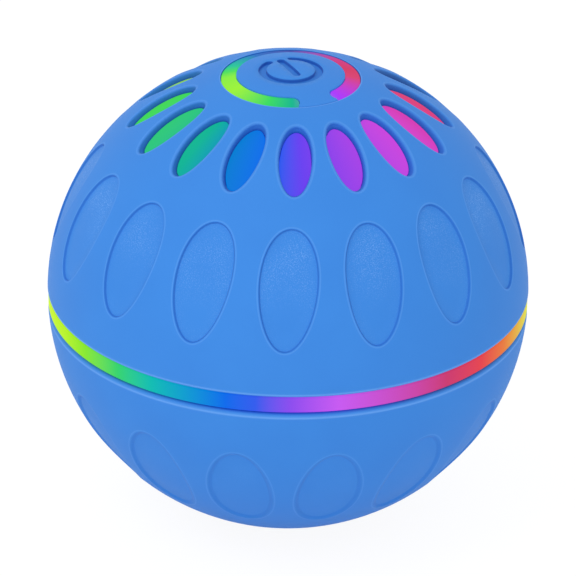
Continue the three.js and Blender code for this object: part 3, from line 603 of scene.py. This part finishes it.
def sheet(skin, radius, grid, longitudes, outer_row, pole_row, holes, creases, ovals):
    """The surface of a slice between its outer edge and its edge near the pole."""
    near = skin.flat(pole_row[0]).length
    far = skin.flat(outer_row[0]).length
    places = spread(near, far, max(2, round((far - near) * radius / grid)))[1:-1]
    start, end = longitudes[0], longitudes[-1]
    sides = [
        skin.add([ball_point(radius, colatitude, longitude, skin.pole) for colatitude in places])
        for longitude in (start, end)
    ]
    outline = pole_row + sides[1] + outer_row[::-1] + sides[0][::-1]
    scattered = []
    for order, colatitude in enumerate(places):
        width = (end - start) * radius * math.sin(colatitude)
        count = max(1, round(width / grid))
        shift = STAGGER if order % 2 else -STAGGER
        for step in range(1, count):
            longitude = start + (end - start) * (step + shift) / count
            point = ball_point(radius, colatitude, longitude, skin.pole)
            place = clear_place(point, ovals, grid, creases)
            if place is not None:
                depth, floor = place
                scattered += skin.add([point * (1 - depth / radius)], floor=floor)
    skin.fill(outline, holes, creases, scattered)


def clear_place(point, ovals, grid, creases):
    """The surface's depth and floor mark at a point, or None in a slot or near an oval's edge."""
    for oval, longitude, is_slot in ovals:
        reach, along = oval_reach(oval, longitude, point)
        if is_slot:
            if reach < 1 + SLOT_MARGIN * grid / oval.half_width:
                return None
            continue
        margin = DIMPLE_MARGIN * grid / oval.half_width
        if creases and reach < 1 + margin:
            # The pale grain on a dimple's floor grows from its lower end to its upper end
            upper_share = min(max(0.5 + along, 0.0), 1.0)
            return (oval.depth, oval.grain * upper_share) if reach < 1 - margin else None
    return 0.0, 0.0


def rounded_corner(corner, edge, start):
    """A quarter circle of radius and height places round a corner's centre."""
    radius, height = corner
    return [
        (radius + edge * math.cos(start + turn), height + edge * math.sin(start + turn))
        for turn in spread(0, QUARTER_TURN, ROUND_STEPS)
    ]


def band_edge(sizes, height, edge, side):
    """A cover's edge along the light ring, from outside to inside. Side is 1 above it, -1 below."""
    radius = sizes.ball_radius
    round_height = height + side * edge
    lip_height = round_height + side * 2 * LIP_WIDTH
    corner = (ball_width(radius, round_height) - edge, round_height)
    quarter = rounded_corner(corner, edge, min(0, -side * QUARTER_TURN))
    inner_place = (ball_width(radius - sizes.wall, height), height)
    return [(ball_width(radius, lip_height), lip_height), *quarter[::-side], inner_place]


def upper_slice(scene):
    """A slot, a dimple and the cover round them, from the light ring up to the button."""
    sizes, slot, dimple = scene.covers, scene.slots, scene.upper_dimples
    radius = sizes.ball_radius
    edge = band_edge(sizes, sizes.band_top, sizes.upper_edge, 1)
    rim = sizes.opening_radius + sizes.opening_edge
    corner = (rim, ball_width(radius, rim) - sizes.opening_edge)
    opening = [(rim + LIP_WIDTH, ball_width(radius, rim + LIP_WIDTH))]
    opening += rounded_corner(corner, sizes.opening_edge, QUARTER_TURN)
    opening.append((sizes.opening_radius, ball_width(radius - sizes.wall, sizes.opening_radius)))
    middle = HINGE + slot.twist
    ovals = [(slot, middle, True), (dimple, HINGE + dimple.twist, False)]
    return cover_slice(sizes, 1, sizes.upper_count, middle, ovals, edge, opening)


def lower_slice(scene):
    """A dimple and the cover round it, from the light ring down to the opening in the foot."""
    sizes, dimple = scene.covers, scene.lower_dimples
    radius = sizes.ball_radius
    edge = band_edge(sizes, sizes.band_bottom, sizes.lower_edge, -1)
    round_height = GROUND + sizes.foot_edge
    lip_height = round_height + LIP_WIDTH
    outer_corner = (ball_width(radius, GROUND) - sizes.foot_edge, round_height)
    inner_corner = (sizes.foot_radius + sizes.foot_edge, round_height)
    foot = [(ball_width(radius, lip_height), lip_height)]
    foot += rounded_corner(outer_corner, sizes.foot_edge, -QUARTER_TURN)[::-1]
    foot += rounded_corner(inner_corner, sizes.foot_edge, -math.pi)[::-1]
    foot.append((sizes.foot_radius, -ball_width(radius - sizes.wall, sizes.foot_radius)))
    middle = HINGE + dimple.twist
    return cover_slice(sizes, -1, sizes.lower_count, middle, [(dimple, middle, False)], edge, foot)


# Outlines of the button, of the C round it and of its symbol

def at(radius, turn, centre=(0, 0)):
    """A flat point at a distance from a centre and at a turn from +X towards +Y."""
    return centre[0] + radius * math.cos(turn), centre[1] + radius * math.sin(turn)


def arc_points(radius, start, end, steps, centre=(0, 0)):
    return [at(radius, turn, centre) for turn in spread(start, end, steps)]


def open_ring(inner, outer, gap_middle, half_gap):
    """An open ring between two radii, with round ends on both sides of its gap."""
    middle = (inner + outer) / 2
    cap = (outer - inner) / 2
    start = gap_middle + half_gap
    end = gap_middle + FULL_TURN - half_gap
    return (
        arc_points(outer, start, end, C_STEPS)[:-1]
        + arc_points(cap, end, end + math.pi, CAP_STEPS, at(middle, end))[:-1]
        + arc_points(inner, end, start, C_STEPS)[:-1]
        + arc_points(cap, start + math.pi, start + FULL_TURN, CAP_STEPS, at(middle, start))[:-1]
    )


def tab_outline(button, reach, opening):
    """The button with its bridge, counterclockwise. The bridge's corners are cut short."""
    middle = (button.radius + opening) / 2
    cap = (opening - button.radius) / 2
    start = HINGE + button.bridge_half_angle
    end = HINGE + FULL_TURN - button.bridge_half_angle
    corner = math.atan2(cap * math.sin(BRIDGE_CORNER), middle + cap * math.cos(BRIDGE_CORNER))
    return (
        arc_points(button.radius, start, end, C_STEPS)[:-1]
        + arc_points(cap, end + math.pi, end + BRIDGE_CORNER, CAP_STEPS, at(middle, end))
        + arc_points(reach, end + corner, start + FULL_TURN - corner, 2 * CAP_STEPS)
        + arc_points(cap, start - BRIDGE_CORNER, start - math.pi, CAP_STEPS, at(middle, start))[:-1]
    )


def drawn_in(outline, distance):
    """A counterclockwise outline with every side moved inwards by a distance."""
    moved = []
    last_first = outline[-1:] + outline[:-1]
    first_last = outline[1:] + outline[:1]
    for before, (x, y), after in zip(last_first, outline, first_last):
        arriving = Vector((x - before[0], y - before[1])).normalized()
        leaving = Vector((after[0] - x, after[1] - y)).normalized()
        along = (arriving + leaving).normalized()
        reach = distance / max(along.dot(leaving), MITRE_LIMIT)
        moved.append((x - along.y * reach, y + along.x * reach))
    return moved


def stroke_ring(button, grow_by):
    """The symbol's open ring, grown by a length on every side."""
    half = button.symbol_stroke / 2 + grow_by
    radius = button.symbol_radius
    return open_ring(radius - half, radius + half, QUARTER_TURN, button.symbol_gap)


def stroke_bar(button, grow_by):
    """The symbol's bar, grown by a length on every side."""
    half = button.symbol_stroke / 2 + grow_by
    low, high = button.bar_bottom, button.bar_top
    return (
        arc_points(half, 0, math.pi, CAP_STEPS, (0, high))[:-1]
        + [(-half, y) for y in spread(high, low, BAR_STEPS)[:-1]]
        + arc_points(half, math.pi, FULL_TURN, CAP_STEPS, (0, low))[:-1]
        + [(half, y) for y in spread(low, high, BAR_STEPS)[:-1]]
    )


def button_grid(skin, button, ball):
    """Points over the button, clear of its edge and of the symbol."""
    clear = button.symbol_stroke / 2 + SYMBOL_CLEARANCE
    points = []
    for ring in range(int(button.radius / BUTTON_GRID)):
        radius = BUTTON_GRID * ring
        count = max(1, BUTTON_SPOKES * ring)
        for step in range(count):
            x, y = at(radius, FULL_TURN * step / count)
            on_ring = abs(radius - button.symbol_radius) < clear
            on_bar = abs(x) < clear and y > button.bar_bottom - BUTTON_GRID
            if not on_ring and not on_bar:
                points += skin.add(lifted([(x, y)], ball))
    return points


def plug_outline(radius, notch=0):
    """A circle, pressed in by a round notch at +Y."""
    points = []
    for x, y in arc_points(radius, 0, FULL_TURN, PLUG_SIDES)[:-1]:
        if notch and math.hypot(x, y - radius) < notch:
            y = radius - math.sqrt(notch ** 2 - x ** 2)
        points.append((x, y))
    return points


def nib_outline():
    """The rounded tongue that goes into the socket."""
    reach = NIB_HALF_WIDTH - NIB_HALF_HEIGHT
    return (
        arc_points(NIB_HALF_HEIGHT, -QUARTER_TURN, QUARTER_TURN, CAP_STEPS, (reach, 0))
        + arc_points(NIB_HALF_HEIGHT, QUARTER_TURN, 3 * QUARTER_TURN, CAP_STEPS, (-reach, 0))
    )


# Nodes

class Graph:
    """Short ways to place nodes and link them."""

    def __init__(self, tree):
        self.tree = tree

    def node(self, kind, inputs=(), **settings):
        placed = self.tree.nodes.new(kind)
        for name, value in settings.items():
            setattr(placed, name, value)
        for key, value in dict(inputs).items():
            if isinstance(value, bpy.types.NodeSocket):
                self.tree.links.new(value, placed.inputs[key])
            else:
                placed.inputs[key].default_value = value
        return placed

    def feed(self, node, **values):
        """Links values to a node's named inputs."""
        for key, value in values.items():
            self.tree.links.new(value, node.inputs[spelled(key)])

    def math(self, operation, first, second=0.0):
        return self.node("ShaderNodeMath", {0: first, 1: second}, operation=operation).outputs[0]

    def remap(self, value, to_min=0.0, to_max=1.0, from_min=0.0, from_max=1.0):
        return self.node("ShaderNodeMapRange", {
            "Value": value, "From Min": from_min, "From Max": from_max,
            "To Min": to_min, "To Max": to_max}).outputs[0]

    def mix(self, factor, first, second, blend="MIX"):
        """Mixes two colours, which are the node's inputs 6 and 7 and its output 2."""
        return self.node(
            "ShaderNodeMix", {0: factor, 6: first, 7: second}, data_type="RGBA",
            blend_type=blend).outputs[2]

    def mark(self, name):
        """A mark of the skin's points."""
        return self.node("ShaderNodeAttribute", attribute_name=name).outputs["Fac"]

    def bump(self, shader, height, distance, strength):
        bump = self.node("ShaderNodeBump", {
            "Height": height, "Distance": distance, "Strength": strength})
        self.feed(shader, normal=bump.outputs[0])

    def group(self, name, make, **inputs):
        """The outputs of a shared node group, which is made where it is first needed."""
        group = self.node("ShaderNodeGroup", node_tree=tree_named(name, make))
        for key, value in inputs.items():
            group.inputs[spelled(key)].default_value = value
        return group.outputs


def spelled(key):
    """The name of a socket, such as Base Color for base_color."""
    return key.replace("_", " ").title().replace("Ior", "IOR")


def tree_named(name, make):
    return bpy.data.node_groups.get(name) or make(name)


def new_tree(name, kind, inputs, outputs):
    """A node tree and its sockets. An input is its name, its kind and, for some, its default."""
    tree = bpy.data.node_groups.new(name, kind)
    for way, sockets in (("INPUT", inputs), ("OUTPUT", outputs)):
        for label, socket_kind, *default in sockets:
            made = tree.interface.new_socket(
                label, in_out=way, socket_type="NodeSocket" + socket_kind)
            if default:
                made.default_value = default[0]
    return Graph(tree)


def turning_tree(name):
    """Repeats a slice round the ball and joins the copies into one skin."""
    graph = new_tree(
        name, "GeometryNodeTree",
        [("Geometry", "Geometry"), ("Count", "Int", 16), ("Join Distance", "Float", JOIN_DISTANCE),
         ("Material", "Material")],
        [("Geometry", "Geometry")])
    source = graph.node("NodeGroupInput").outputs
    points = graph.node("GeometryNodePoints", {"Count": source["Count"]})
    order = graph.node("GeometryNodeInputIndex").outputs[0]
    share = graph.math("DIVIDE", order, source["Count"])
    turn = graph.node("ShaderNodeCombineXYZ", {"Z": graph.math("MULTIPLY", share, FULL_TURN)})
    copies = graph.node("GeometryNodeInstanceOnPoints", {
        "Points": points.outputs[0], "Instance": source["Geometry"], "Rotation": turn.outputs[0]})
    real = graph.node("GeometryNodeRealizeInstances", {"Geometry": copies.outputs[0]})
    joined = graph.node("GeometryNodeMergeByDistance", {
        "Geometry": real.outputs[0], "Distance": source["Join Distance"]})
    painted = graph.node("GeometryNodeSetMaterial", {
        "Geometry": joined.outputs[0], "Material": source["Material"]})
    graph.node("NodeGroupOutput", {"Geometry": painted.outputs[0]})
    return graph.tree


def grow(piece, count, material):
    """Repeats a slice round the ball and keeps the result as the piece's own plain mesh."""
    tree = tree_named("Round the Ball", turning_tree)
    modifier = piece.modifiers.new(tree.name, "NODES")
    modifier.node_group = tree
    values = {"Count": count, "Material": material}
    for item in tree.interface.items_tree:
        if item.in_out == "INPUT" and item.name in values:
            modifier[item.identifier] = values[item.name]
    bpy.context.view_layer.update()
    evaluated = piece.evaluated_get(bpy.context.evaluated_depsgraph_get())
    mesh = bpy.data.meshes.new_from_object(evaluated)
    piece.modifiers.remove(modifier)
    piece.data = mesh
    settle(piece)


def grain_group(name):
    """Fine rubber or plastic grain: cloudy colour, a height for bumps, and a pale stipple."""
    graph = new_tree(
        name, "ShaderNodeTree",
        [("Grain Size", "Float", 0.3 * MM), ("Cloud Size", "Float", 9 * MM)],
        [("Cloud", "Float"), ("Height", "Float"), ("Stipple", "Float")])
    source = graph.node("NodeGroupInput").outputs
    place = graph.node("ShaderNodeTexCoord").outputs["Object"]
    fine = graph.math("DIVIDE", 1.0, source["Grain Size"])
    broad = graph.math("DIVIDE", 1.0, source["Cloud Size"])
    grain = graph.node("ShaderNodeTexNoise", {"Vector": place, "Scale": fine, "Detail": 2.0})
    cloud = graph.node("ShaderNodeTexNoise", {"Vector": place, "Scale": broad, "Detail": 1.0})
    graph.node("NodeGroupOutput", {
        "Cloud": cloud.outputs[0], "Height": grain.outputs[0],
        "Stipple": graph.remap(grain.outputs[0], from_min=0.52, from_max=0.68)})
    return graph.tree


def azimuth_group(name):
    """Share runs once round the ball from its far side, and Half Share twice."""
    graph = new_tree(
        name, "ShaderNodeTree", [],
        [("Share", "Float"), ("Half Share", "Float"), ("Radius", "Float")])
    place = graph.node("ShaderNodeTexCoord").outputs["Object"]
    parts = graph.node("ShaderNodeSeparateXYZ", {0: place}).outputs
    longitude = graph.math("ARCTAN2", parts[1], parts[0])
    shifted = graph.math("SUBTRACT", longitude, VIEW_LONGITUDE)
    turns = graph.math("ADD", graph.math("DIVIDE", shifted, FULL_TURN), 0.5)
    share = graph.math("FRACT", graph.math("ADD", turns, 1.0))
    twice = graph.math("FRACT", graph.math("ADD", graph.math("MULTIPLY", share, 2.0), 0.5))
    flat = graph.node("ShaderNodeCombineXYZ", {"X": parts[0], "Y": parts[1]})
    radius = graph.node("ShaderNodeVectorMath", {0: flat.outputs[0]}, operation="LENGTH")
    graph.node("NodeGroupOutput", {
        "Share": share, "Half Share": twice, "Radius": radius.outputs["Value"]})
    return graph.tree


# Materials

def new_material(name, **constants):
    """A material with its shader, and a graph to add nodes with."""
    material = bpy.data.materials.new(name)
    material.use_nodes = True
    shader = material.node_tree.nodes["Principled BSDF"]
    for key, value in constants.items():
        shader.inputs[spelled(key)].default_value = value
    return material, Graph(material.node_tree), shader


def shared(name, make, *values):
    return bpy.data.materials.get(name) or make(name, *values)


def ramp(graph, factor, stops):
    """A colour ramp from places in degrees, which run from 0 at the first stop to 1 at the last."""
    start, end = stops[0][0], stops[-1][0]
    node = graph.node("ShaderNodeValToRGB", {"Fac": factor})
    colours = node.color_ramp
    while len(colours.elements) > 1:
        colours.elements.remove(colours.elements[-1])
    for order, (degrees, colour) in enumerate(stops):
        place = (degrees - start) / (end - start)
        element = colours.elements[0] if order == 0 else colours.elements.new(place)
        element.position = place
        element.color = linear(colour)
    return node.outputs[0]


def rubber_material(name, colours):
    material, graph, shader = new_material(
        name, roughness=0.7, specular_ior_level=0.2, sheen_weight=0.05, sheen_roughness=0.45)
    grain = graph.group("Fine Grain", grain_group, grain_size=colours.grain_size)
    cloud = graph.mix(grain["Cloud"], colours.deep, colours.main)
    patches = graph.remap(grain["Cloud"], to_min=0.3, to_max=0.75, from_min=0.4, from_max=0.6)
    grainy = graph.math("MULTIPLY", graph.mark("floor"), patches)
    specks = graph.math("MULTIPLY", grain["Stipple"], grainy)
    speckled = graph.mix(specks, cloud, colours.pale_grain)
    # Painted shade darkens the walls
    wall_shaded = graph.mix(graph.mark("wall"), speckled, colours.wall_shade)
    # A painted highlight lightens the rounded edges
    paint = graph.mix(graph.mark("lip"), wall_shaded, colours.highlight_paint)
    rough = graph.remap(grain["Cloud"], to_min=0.66, to_max=0.76)
    graph.feed(shader, base_color=paint, roughness=rough)
    graph.bump(shader, grain["Height"], distance=0.02 * MM, strength=0.5)
    return material


def lit_material(name, paint, grain_size):
    """Light that comes through milky plastic, over a darker body of the same colour."""
    material, graph, shader = new_material(
        name, roughness=0.6, emission_strength=0.92, specular_ior_level=0.06)
    colour = paint(graph, graph.group("Round the Pole", azimuth_group))
    body = graph.mix(1.0, colour, LIT_BODY, "MULTIPLY")
    graph.feed(shader, base_color=body, emission_color=colour)
    grain = graph.group("Fine Grain", grain_group, grain_size=grain_size)
    graph.bump(shader, grain["Height"], distance=0.01 * MM, strength=0.3)
    return material


def dome_paint(graph, place):
    """The colours round the button, and beyond them the colours of the slots."""
    button = ramp(graph, place["Share"], BUTTON_COLOURS)
    slots = ramp(graph, place["Share"], SLOT_COLOURS)
    is_slot = graph.remap(place["Radius"], from_min=BUTTON_GLOW_REACH, from_max=SLOT_GLOW_START)
    return graph.mix(is_slot, button, slots)


def band_paint(graph, place):
    """The colours of the ring, which come twice round the ball."""
    return ramp(graph, place["Half Share"], BAND_COLOURS)


def inner_material(name, finish):
    colour, cloud_colour, roughness, metallic = finish
    material, graph, shader = new_material(name, metallic=metallic)
    grain = graph.group("Fine Grain", grain_group, grain_size=0.25 * MM, cloud_size=5 * MM)
    paint = graph.mix(grain["Cloud"], linear(cloud_colour), linear(colour))
    rough = graph.remap(grain["Cloud"], roughness - 0.06, roughness + 0.05)
    graph.feed(shader, base_color=paint, roughness=rough)
    graph.bump(shader, grain["Height"], distance=0.02 * MM, strength=0.4)
    return material


def soft_rubber(scene):
    return shared("soft_blue_rubber", rubber_material, scene.rubber)


def milky_glow():
    return shared("lit_milky_dome", lit_material, dome_paint, DOME_GRAIN)


def dress(piece, material, body, slot_name, *nodes):
    """Gives a finished piece its material and its body, and hides the nodes that it stands for. Its
    slot name is not used.
    """
    piece.data.materials.clear()
    piece.data.materials.append(material)
    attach(piece, body)
    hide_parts(*nodes)


def dome_outside(covers):
    return covers.ball_radius - covers.wall - covers.fit_gap


# Operators

class DOGBALL_OT_covers(bpy.types.Operator):
    """Soft covers, the upper one with slots and dimples, the lower one with dimples and a foot"""
    bl_idname = "dogball.covers"
    bl_label = "Soft Covers"
    bl_options = {"REGISTER", "UNDO"}

    def execute(self, context):
        scene = context.scene
        material = soft_rubber(scene)
        halves = (
            ("soft_upper_cover", upper_slice, scene.covers.upper_count, "upper_cover"),
            ("soft_lower_cover", lower_slice, scene.covers.lower_count, "lower_cover"),
        )
        for name, make_slice, count, node in halves:
            piece = make_slice(scene).build(name, closed=False)
            grow(piece, count, material)
            dress(piece, material, "ball", "blue_rubber", node)
        return {"FINISHED"}


class DOGBALL_OT_button(bpy.types.Operator):
    """Round button on its bridge, with a sunk power symbol"""
    bl_idname = "dogball.button"
    bl_label = "Button"
    bl_options = {"REGISTER", "UNDO"}

    def execute(self, context):
        scene = context.scene
        button, covers = scene.button, scene.covers
        ball = covers.ball_radius
        underside = ball - button.thickness
        reach = covers.opening_radius - button.seam
        outline = tab_outline(button, reach, covers.opening_radius)
        skin = Skin()
        rows = []
        for inset, depth in round_over(button.edge):
            rows.append(skin.add(lifted(drawn_in(outline, inset), ball - depth)))
        tapered = tab_outline(button, reach - button.bridge_taper, covers.opening_radius)
        rows.append(skin.add(lifted(tapered, underside)))
        skin.strips(rows)
        creases = []
        for stroke in (stroke_ring, stroke_bar):
            steps = slope_steps(button.symbol_slope, button.symbol_depth)
            for grow_by, depth, fall, steepness in steps:
                # Painted shade darkens the symbol's walls fully and its floor in part
                wall = max(steepness, SYMBOL_FLOOR_SHADE * fall)
                creases.append(skin.add(lifted(stroke(button, grow_by), ball - depth), wall=wall))
        skin.fill(rows[0], creases=creases, scattered=button_grid(skin, button, ball))
        skin.fill(rows[-1], scattered=button_grid(skin, button, underside))
        piece = skin.build("power_button")
        dress(piece, soft_rubber(scene), "button", "blue_rubber", "button_tab")
        return {"FINISHED"}


class DOGBALL_OT_dome(bpy.types.Operator):
    """Milky dome under the upper cover, with the raised C that glows round the button"""
    bl_idname = "dogball.dome"
    bl_label = "Dome"
    bl_options = {"REGISTER", "UNDO"}

    def execute(self, context):
        scene = context.scene
        covers, glow, button = scene.covers, scene.glow, scene.button
        outside = dome_outside(covers)
        within = outside - glow.dome_wall
        bottom = max(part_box("diffuser_dome")[0].z, DOME_BOTTOM)
        longitudes = spread(-math.pi, math.pi, DOME_SIDES)[:-1]
        skin = Skin()
        shells = []
        for radius, count in ((outside, DOME_ROWS_OUTSIDE), (within, DOME_ROWS_INSIDE)):
            shells.append([
                skin.add([ball_point(radius, colatitude, longitude) for longitude in longitudes])
                for colatitude in spread(math.acos(bottom / radius), DOME_CAP, count)
            ])
        outer, inner = shells
        skin.strips(outer)
        skin.strips(inner)
        skin.strip(outer[0], inner[0])
        rib_inside = button.radius + glow.rib_inset
        rib_outside = covers.opening_radius - glow.rib_inset
        rib = open_ring(rib_inside, rib_outside, HINGE, button.bridge_half_angle)
        top = covers.ball_radius - glow.rib_recess
        rows = [skin.add(lifted(rib, outside))]
        for inset, depth in reversed(round_over(glow.rib_edge)):
            rows.append(skin.add(lifted(drawn_in(rib, inset), top - depth)))
        skin.strips(rows)
        skin.fill(rows[-1])
        skin.fill(outer[-1], holes=[rows[0]])
        skin.fill(inner[-1], scattered=skin.add([Vector((0, 0, within))]))
        piece = skin.build("milky_dome")
        dress(piece, milky_glow(), "ball", "milky_dome", "diffuser_dome")
        return {"FINISHED"}


class DOGBALL_OT_lenses(bpy.types.Operator):
    """Raised lenses of the dome, one in every slot"""
    bl_idname = "dogball.lenses"
    bl_label = "Lenses"
    bl_options = {"REGISTER", "UNDO"}

    def execute(self, context):
        scene = context.scene
        covers, slot = scene.covers, scene.slots
        top = covers.ball_radius - slot.lens_recess
        root = dome_outside(covers) - scene.glow.dome_wall / 2
        longitude = HINGE + slot.twist
        skin = Skin()
        rows = [skin.add(oval_ring(slot, longitude, -slot.lens_gap, root))]
        for inset, depth in reversed(round_over(slot.lens_edge)):
            rows.append(skin.add(oval_ring(slot, longitude, -slot.lens_gap - inset, top - depth)))
        skin.strips(rows)
        skin.fill(rows[-1])
        skin.fill(rows[0])
        piece = skin.build("slot_lenses", closed=False)
        grow(piece, covers.upper_count, milky_glow())
        dress(piece, milky_glow(), "ball", "milky_dome")
        return {"FINISHED"}


class DOGBALL_OT_ring(bpy.types.Operator):
    """Clear ring at the equator, lit in changing colours"""
    bl_idname = "dogball.ring"
    bl_label = "Light Ring"
    bl_options = {"REGISTER", "UNDO"}

    def execute(self, context):
        covers, glow = context.scene.covers, context.scene.glow
        top = covers.band_top - glow.gap_above
        bottom = covers.band_bottom + glow.gap_below
        edge = glow.ring_round
        seat = covers.ball_radius - covers.wall
        corner_radius = covers.ball_radius - glow.ring_recess - edge
        profile = [(RING_INSIDE, WEB_BOTTOM), (seat, WEB_BOTTOM), (seat, bottom)]
        profile += rounded_corner((corner_radius, bottom + edge), edge, -QUARTER_TURN)
        profile += rounded_corner((corner_radius, top - edge), edge, 0)
        profile += [(seat, top), (seat, WEB_TOP), (RING_INSIDE, WEB_TOP)]
        skin = Skin()
        half = math.pi / RING_SLICES
        turns = spread(-half, half, SLICE_STEPS)
        rows = [
            skin.add([polar(radius, turn, height) for turn in turns]) for radius, height in profile]
        skin.strips(rows + rows[:1], closed=False)
        piece = skin.build("clear_light_ring", closed=False)
        material = shared("lit_clear_ring", lit_material, band_paint, RING_GRAIN)
        grow(piece, RING_SLICES, material)
        dress(piece, material, "ball", "clear_ring", "light_ring")
        return {"FINISHED"}


class DOGBALL_OT_plug(bpy.types.Operator):
    """Soft plug of the charging socket, with a notch for a fingernail"""
    bl_idname = "dogball.plug"
    bl_label = "Charging Plug"
    bl_options = {"REGISTER", "UNDO"}

    def execute(self, context):
        scene = context.scene
        low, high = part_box("charge_plug")
        radius = scene.covers.foot_radius - scene.glow.plug_gap
        edge = scene.glow.plug_edge
        outline = plug_outline(radius)
        notched = plug_outline(radius, PLUG_NOTCH)
        notch_top = low.z + PLUG_THICKNESS / 2
        plug_top = low.z + PLUG_THICKNESS
        skin = Skin(pole=-1)

        def row(points, height):
            return skin.add([Vector((x, y, height)) for x, y in points])

        rows = [row(drawn_in(notched, inset), low.z + depth) for inset, depth in round_over(edge)]
        rows.append(row(notched, notch_top))
        rows.append(row(outline, notch_top + NOTCH_FLOOR))
        rows.append(row(outline, plug_top))
        skin.strips(rows)
        skin.fill(rows[0])
        nib = nib_outline()
        nib_rows = [row(nib, plug_top), row(nib, high.z - edge), row(drawn_in(nib, edge), high.z)]
        skin.strips(nib_rows)
        skin.fill(nib_rows[-1])
        skin.fill(rows[-1], holes=[nib_rows[0]])
        piece = skin.build("soft_charging_plug")
        dress(piece, soft_rubber(scene), "plug", "blue_rubber", "charge_plug")
        return {"FINISHED"}


class DOGBALL_OT_inner_finishes(bpy.types.Operator):
    """Finishes of the pieces inside, which keep the frame's shapes"""
    bl_idname = "dogball.inner_finishes"
    bl_label = "Inner Finishes"
    bl_options = {"REGISTER", "UNDO"}

    def execute(self, context):
        for part in frame["record"]["subparts"]:
            slot_name = part["material_slot"]
            if slot_name in INNER_FINISHES:
                mesh = frame["nodes"][part["node"]].data
                mesh.materials.clear()
                finish = INNER_FINISHES[slot_name]
                mesh.materials.append(shared("inner_" + slot_name, inner_material, finish))
        return {"FINISHED"}


class DOGBALL_OT_stage(bpy.types.Operator):
    """Pale floor, soft studio light and the camera"""
    bl_idname = "dogball.stage"
    bl_label = "Stage"
    bl_options = {"REGISTER", "UNDO"}

    def execute(self, context):
        make_floor()
        make_world(context.scene)
        make_lamps()
        make_camera(context.scene)
        return {"FINISHED"}


# The stage's own parts

def seen_directly(graph):
    """1 for rays from the camera and for those that gloss or glass sends on, and otherwise 0."""
    path = graph.node("ShaderNodeLightPath").outputs
    seen = graph.math("MAXIMUM", path["Is Camera Ray"], path["Is Glossy Ray"])
    return graph.math("MAXIMUM", seen, path["Is Transmission Ray"])


def make_floor():
    """A floor that looks nearly white, keeps the ball's shadow and sends plain light back to it."""
    half = FLOOR_HALF_WIDTH
    square = ((-half, -half), (half, -half), (half, half), (-half, half))
    corners = [(x, y, GROUND) for x, y in square]
    mesh = bpy.data.meshes.new("studio_floor")
    mesh.from_pydata(corners, [], [(0, 1, 2, 3)])
    floor = placed_object("studio_floor", mesh)
    material, graph, shader = new_material("pale_floor")
    material.node_tree.nodes.remove(shader)
    shadow = graph.node("ShaderNodeBsdfDiffuse", {"Color": FLOOR_SHADOW})
    glow = graph.node("ShaderNodeEmission", {"Color": WHITE, "Strength": FLOOR_GLOW})
    seen = graph.node("ShaderNodeAddShader", {0: shadow.outputs[0], 1: glow.outputs[0]})
    plain = graph.node("ShaderNodeBsdfDiffuse", {"Color": FLOOR_COLOUR})
    both = graph.node("ShaderNodeMixShader", {
        0: seen_directly(graph), 1: plain.outputs[0], 2: seen.outputs[0]})
    graph.feed(material.node_tree.nodes["Material Output"], surface=both.outputs[0])
    mesh.materials.append(material)


def make_world(scene):
    world = bpy.data.worlds.new("soft_studio")
    world.use_nodes = True
    scene.world = world
    graph = Graph(world.node_tree)
    background = world.node_tree.nodes["Background"]
    background.inputs["Color"].default_value = WHITE
    graph.feed(background, strength=graph.remap(seen_directly(graph), SKY_LIGHT, 1.0))


def make_lamps():
    for name, turn, distance, height, width, power in LAMPS:
        data = bpy.data.lights.new(name, "AREA")
        data.shape = "SQUARE"
        data.size = width
        data.energy = power
        lamp = placed_object(name, data)
        lamp.location = polar(distance, VIEW_LONGITUDE + turn, height)
        lamp.rotation_euler = (-lamp.location).to_track_quat("-Z", "Y").to_euler()


def make_camera(scene):
    data = bpy.data.cameras.new("photo_camera")
    data.sensor_fit = "HORIZONTAL"
    data.sensor_width = SENSOR_WIDTH
    data.lens = FOCAL_LENGTH
    camera = placed_object("photo_camera", data)
    reach, height = at(CAMERA_DISTANCE, ELEVATION)
    place = polar(reach, VIEW_LONGITUDE, height)
    facing = (-place).to_track_quat("-Z", "Y").to_matrix().to_4x4()
    camera.matrix_world = Matrix.Translation(place) @ facing @ Matrix.Rotation(CAMERA_ROLL, 4, "Z")
    scene.camera = camera
    scene.view_settings.view_transform = "Standard"


# Panel and registration

GROUPS = {
    "covers": CoverSizes,
    "slots": SlotSizes,
    "upper_dimples": UpperDimpleSizes,
    "lower_dimples": LowerDimpleSizes,
    "button": ButtonSizes,
    "glow": GlowSizes,
    "rubber": RubberColours,
}
OPERATORS = [
    DOGBALL_OT_covers, DOGBALL_OT_button, DOGBALL_OT_dome, DOGBALL_OT_lenses, DOGBALL_OT_ring,
    DOGBALL_OT_plug, DOGBALL_OT_inner_finishes, DOGBALL_OT_stage,
]


class DOGBALL_PT_panel(bpy.types.Panel):
    """Lists the ball's sizes and the operators that build its pieces"""
    bl_label = "Dog Ball"
    bl_idname = "DOGBALL_PT_panel"
    bl_space_type = "VIEW_3D"
    bl_region_type = "UI"
    bl_category = "Dog Ball"

    def draw(self, context):
        layout = self.layout
        for operator in OPERATORS:
            layout.operator(operator.bl_idname)
        for name, group in GROUPS.items():
            box = layout.box()
            box.label(text=name.replace("_", " ").capitalize())
            for key in group.__annotations__:
                box.prop(getattr(context.scene, name), key)


def register():
    for group in GROUPS.values():
        bpy.utils.register_class(group)
    for name, group in GROUPS.items():
        setattr(bpy.types.Scene, name, PointerProperty(type=group))
    for operator in OPERATORS:
        bpy.utils.register_class(operator)
    bpy.utils.register_class(DOGBALL_PT_panel)


def unregister():
    bpy.utils.unregister_class(DOGBALL_PT_panel)
    for operator in reversed(OPERATORS):
        bpy.utils.unregister_class(operator)
    for name, group in reversed(GROUPS.items()):
        delattr(bpy.types.Scene, name)
        bpy.utils.unregister_class(group)


def main():
    register()
    bpy.ops.dogball.covers()
    bpy.ops.dogball.button()
    bpy.ops.dogball.dome()
    bpy.ops.dogball.lenses()
    bpy.ops.dogball.ring()
    bpy.ops.dogball.plug()
    bpy.ops.dogball.inner_finishes()
    bpy.ops.dogball.stage()
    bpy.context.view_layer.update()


if __name__ == "__main__":
    main()
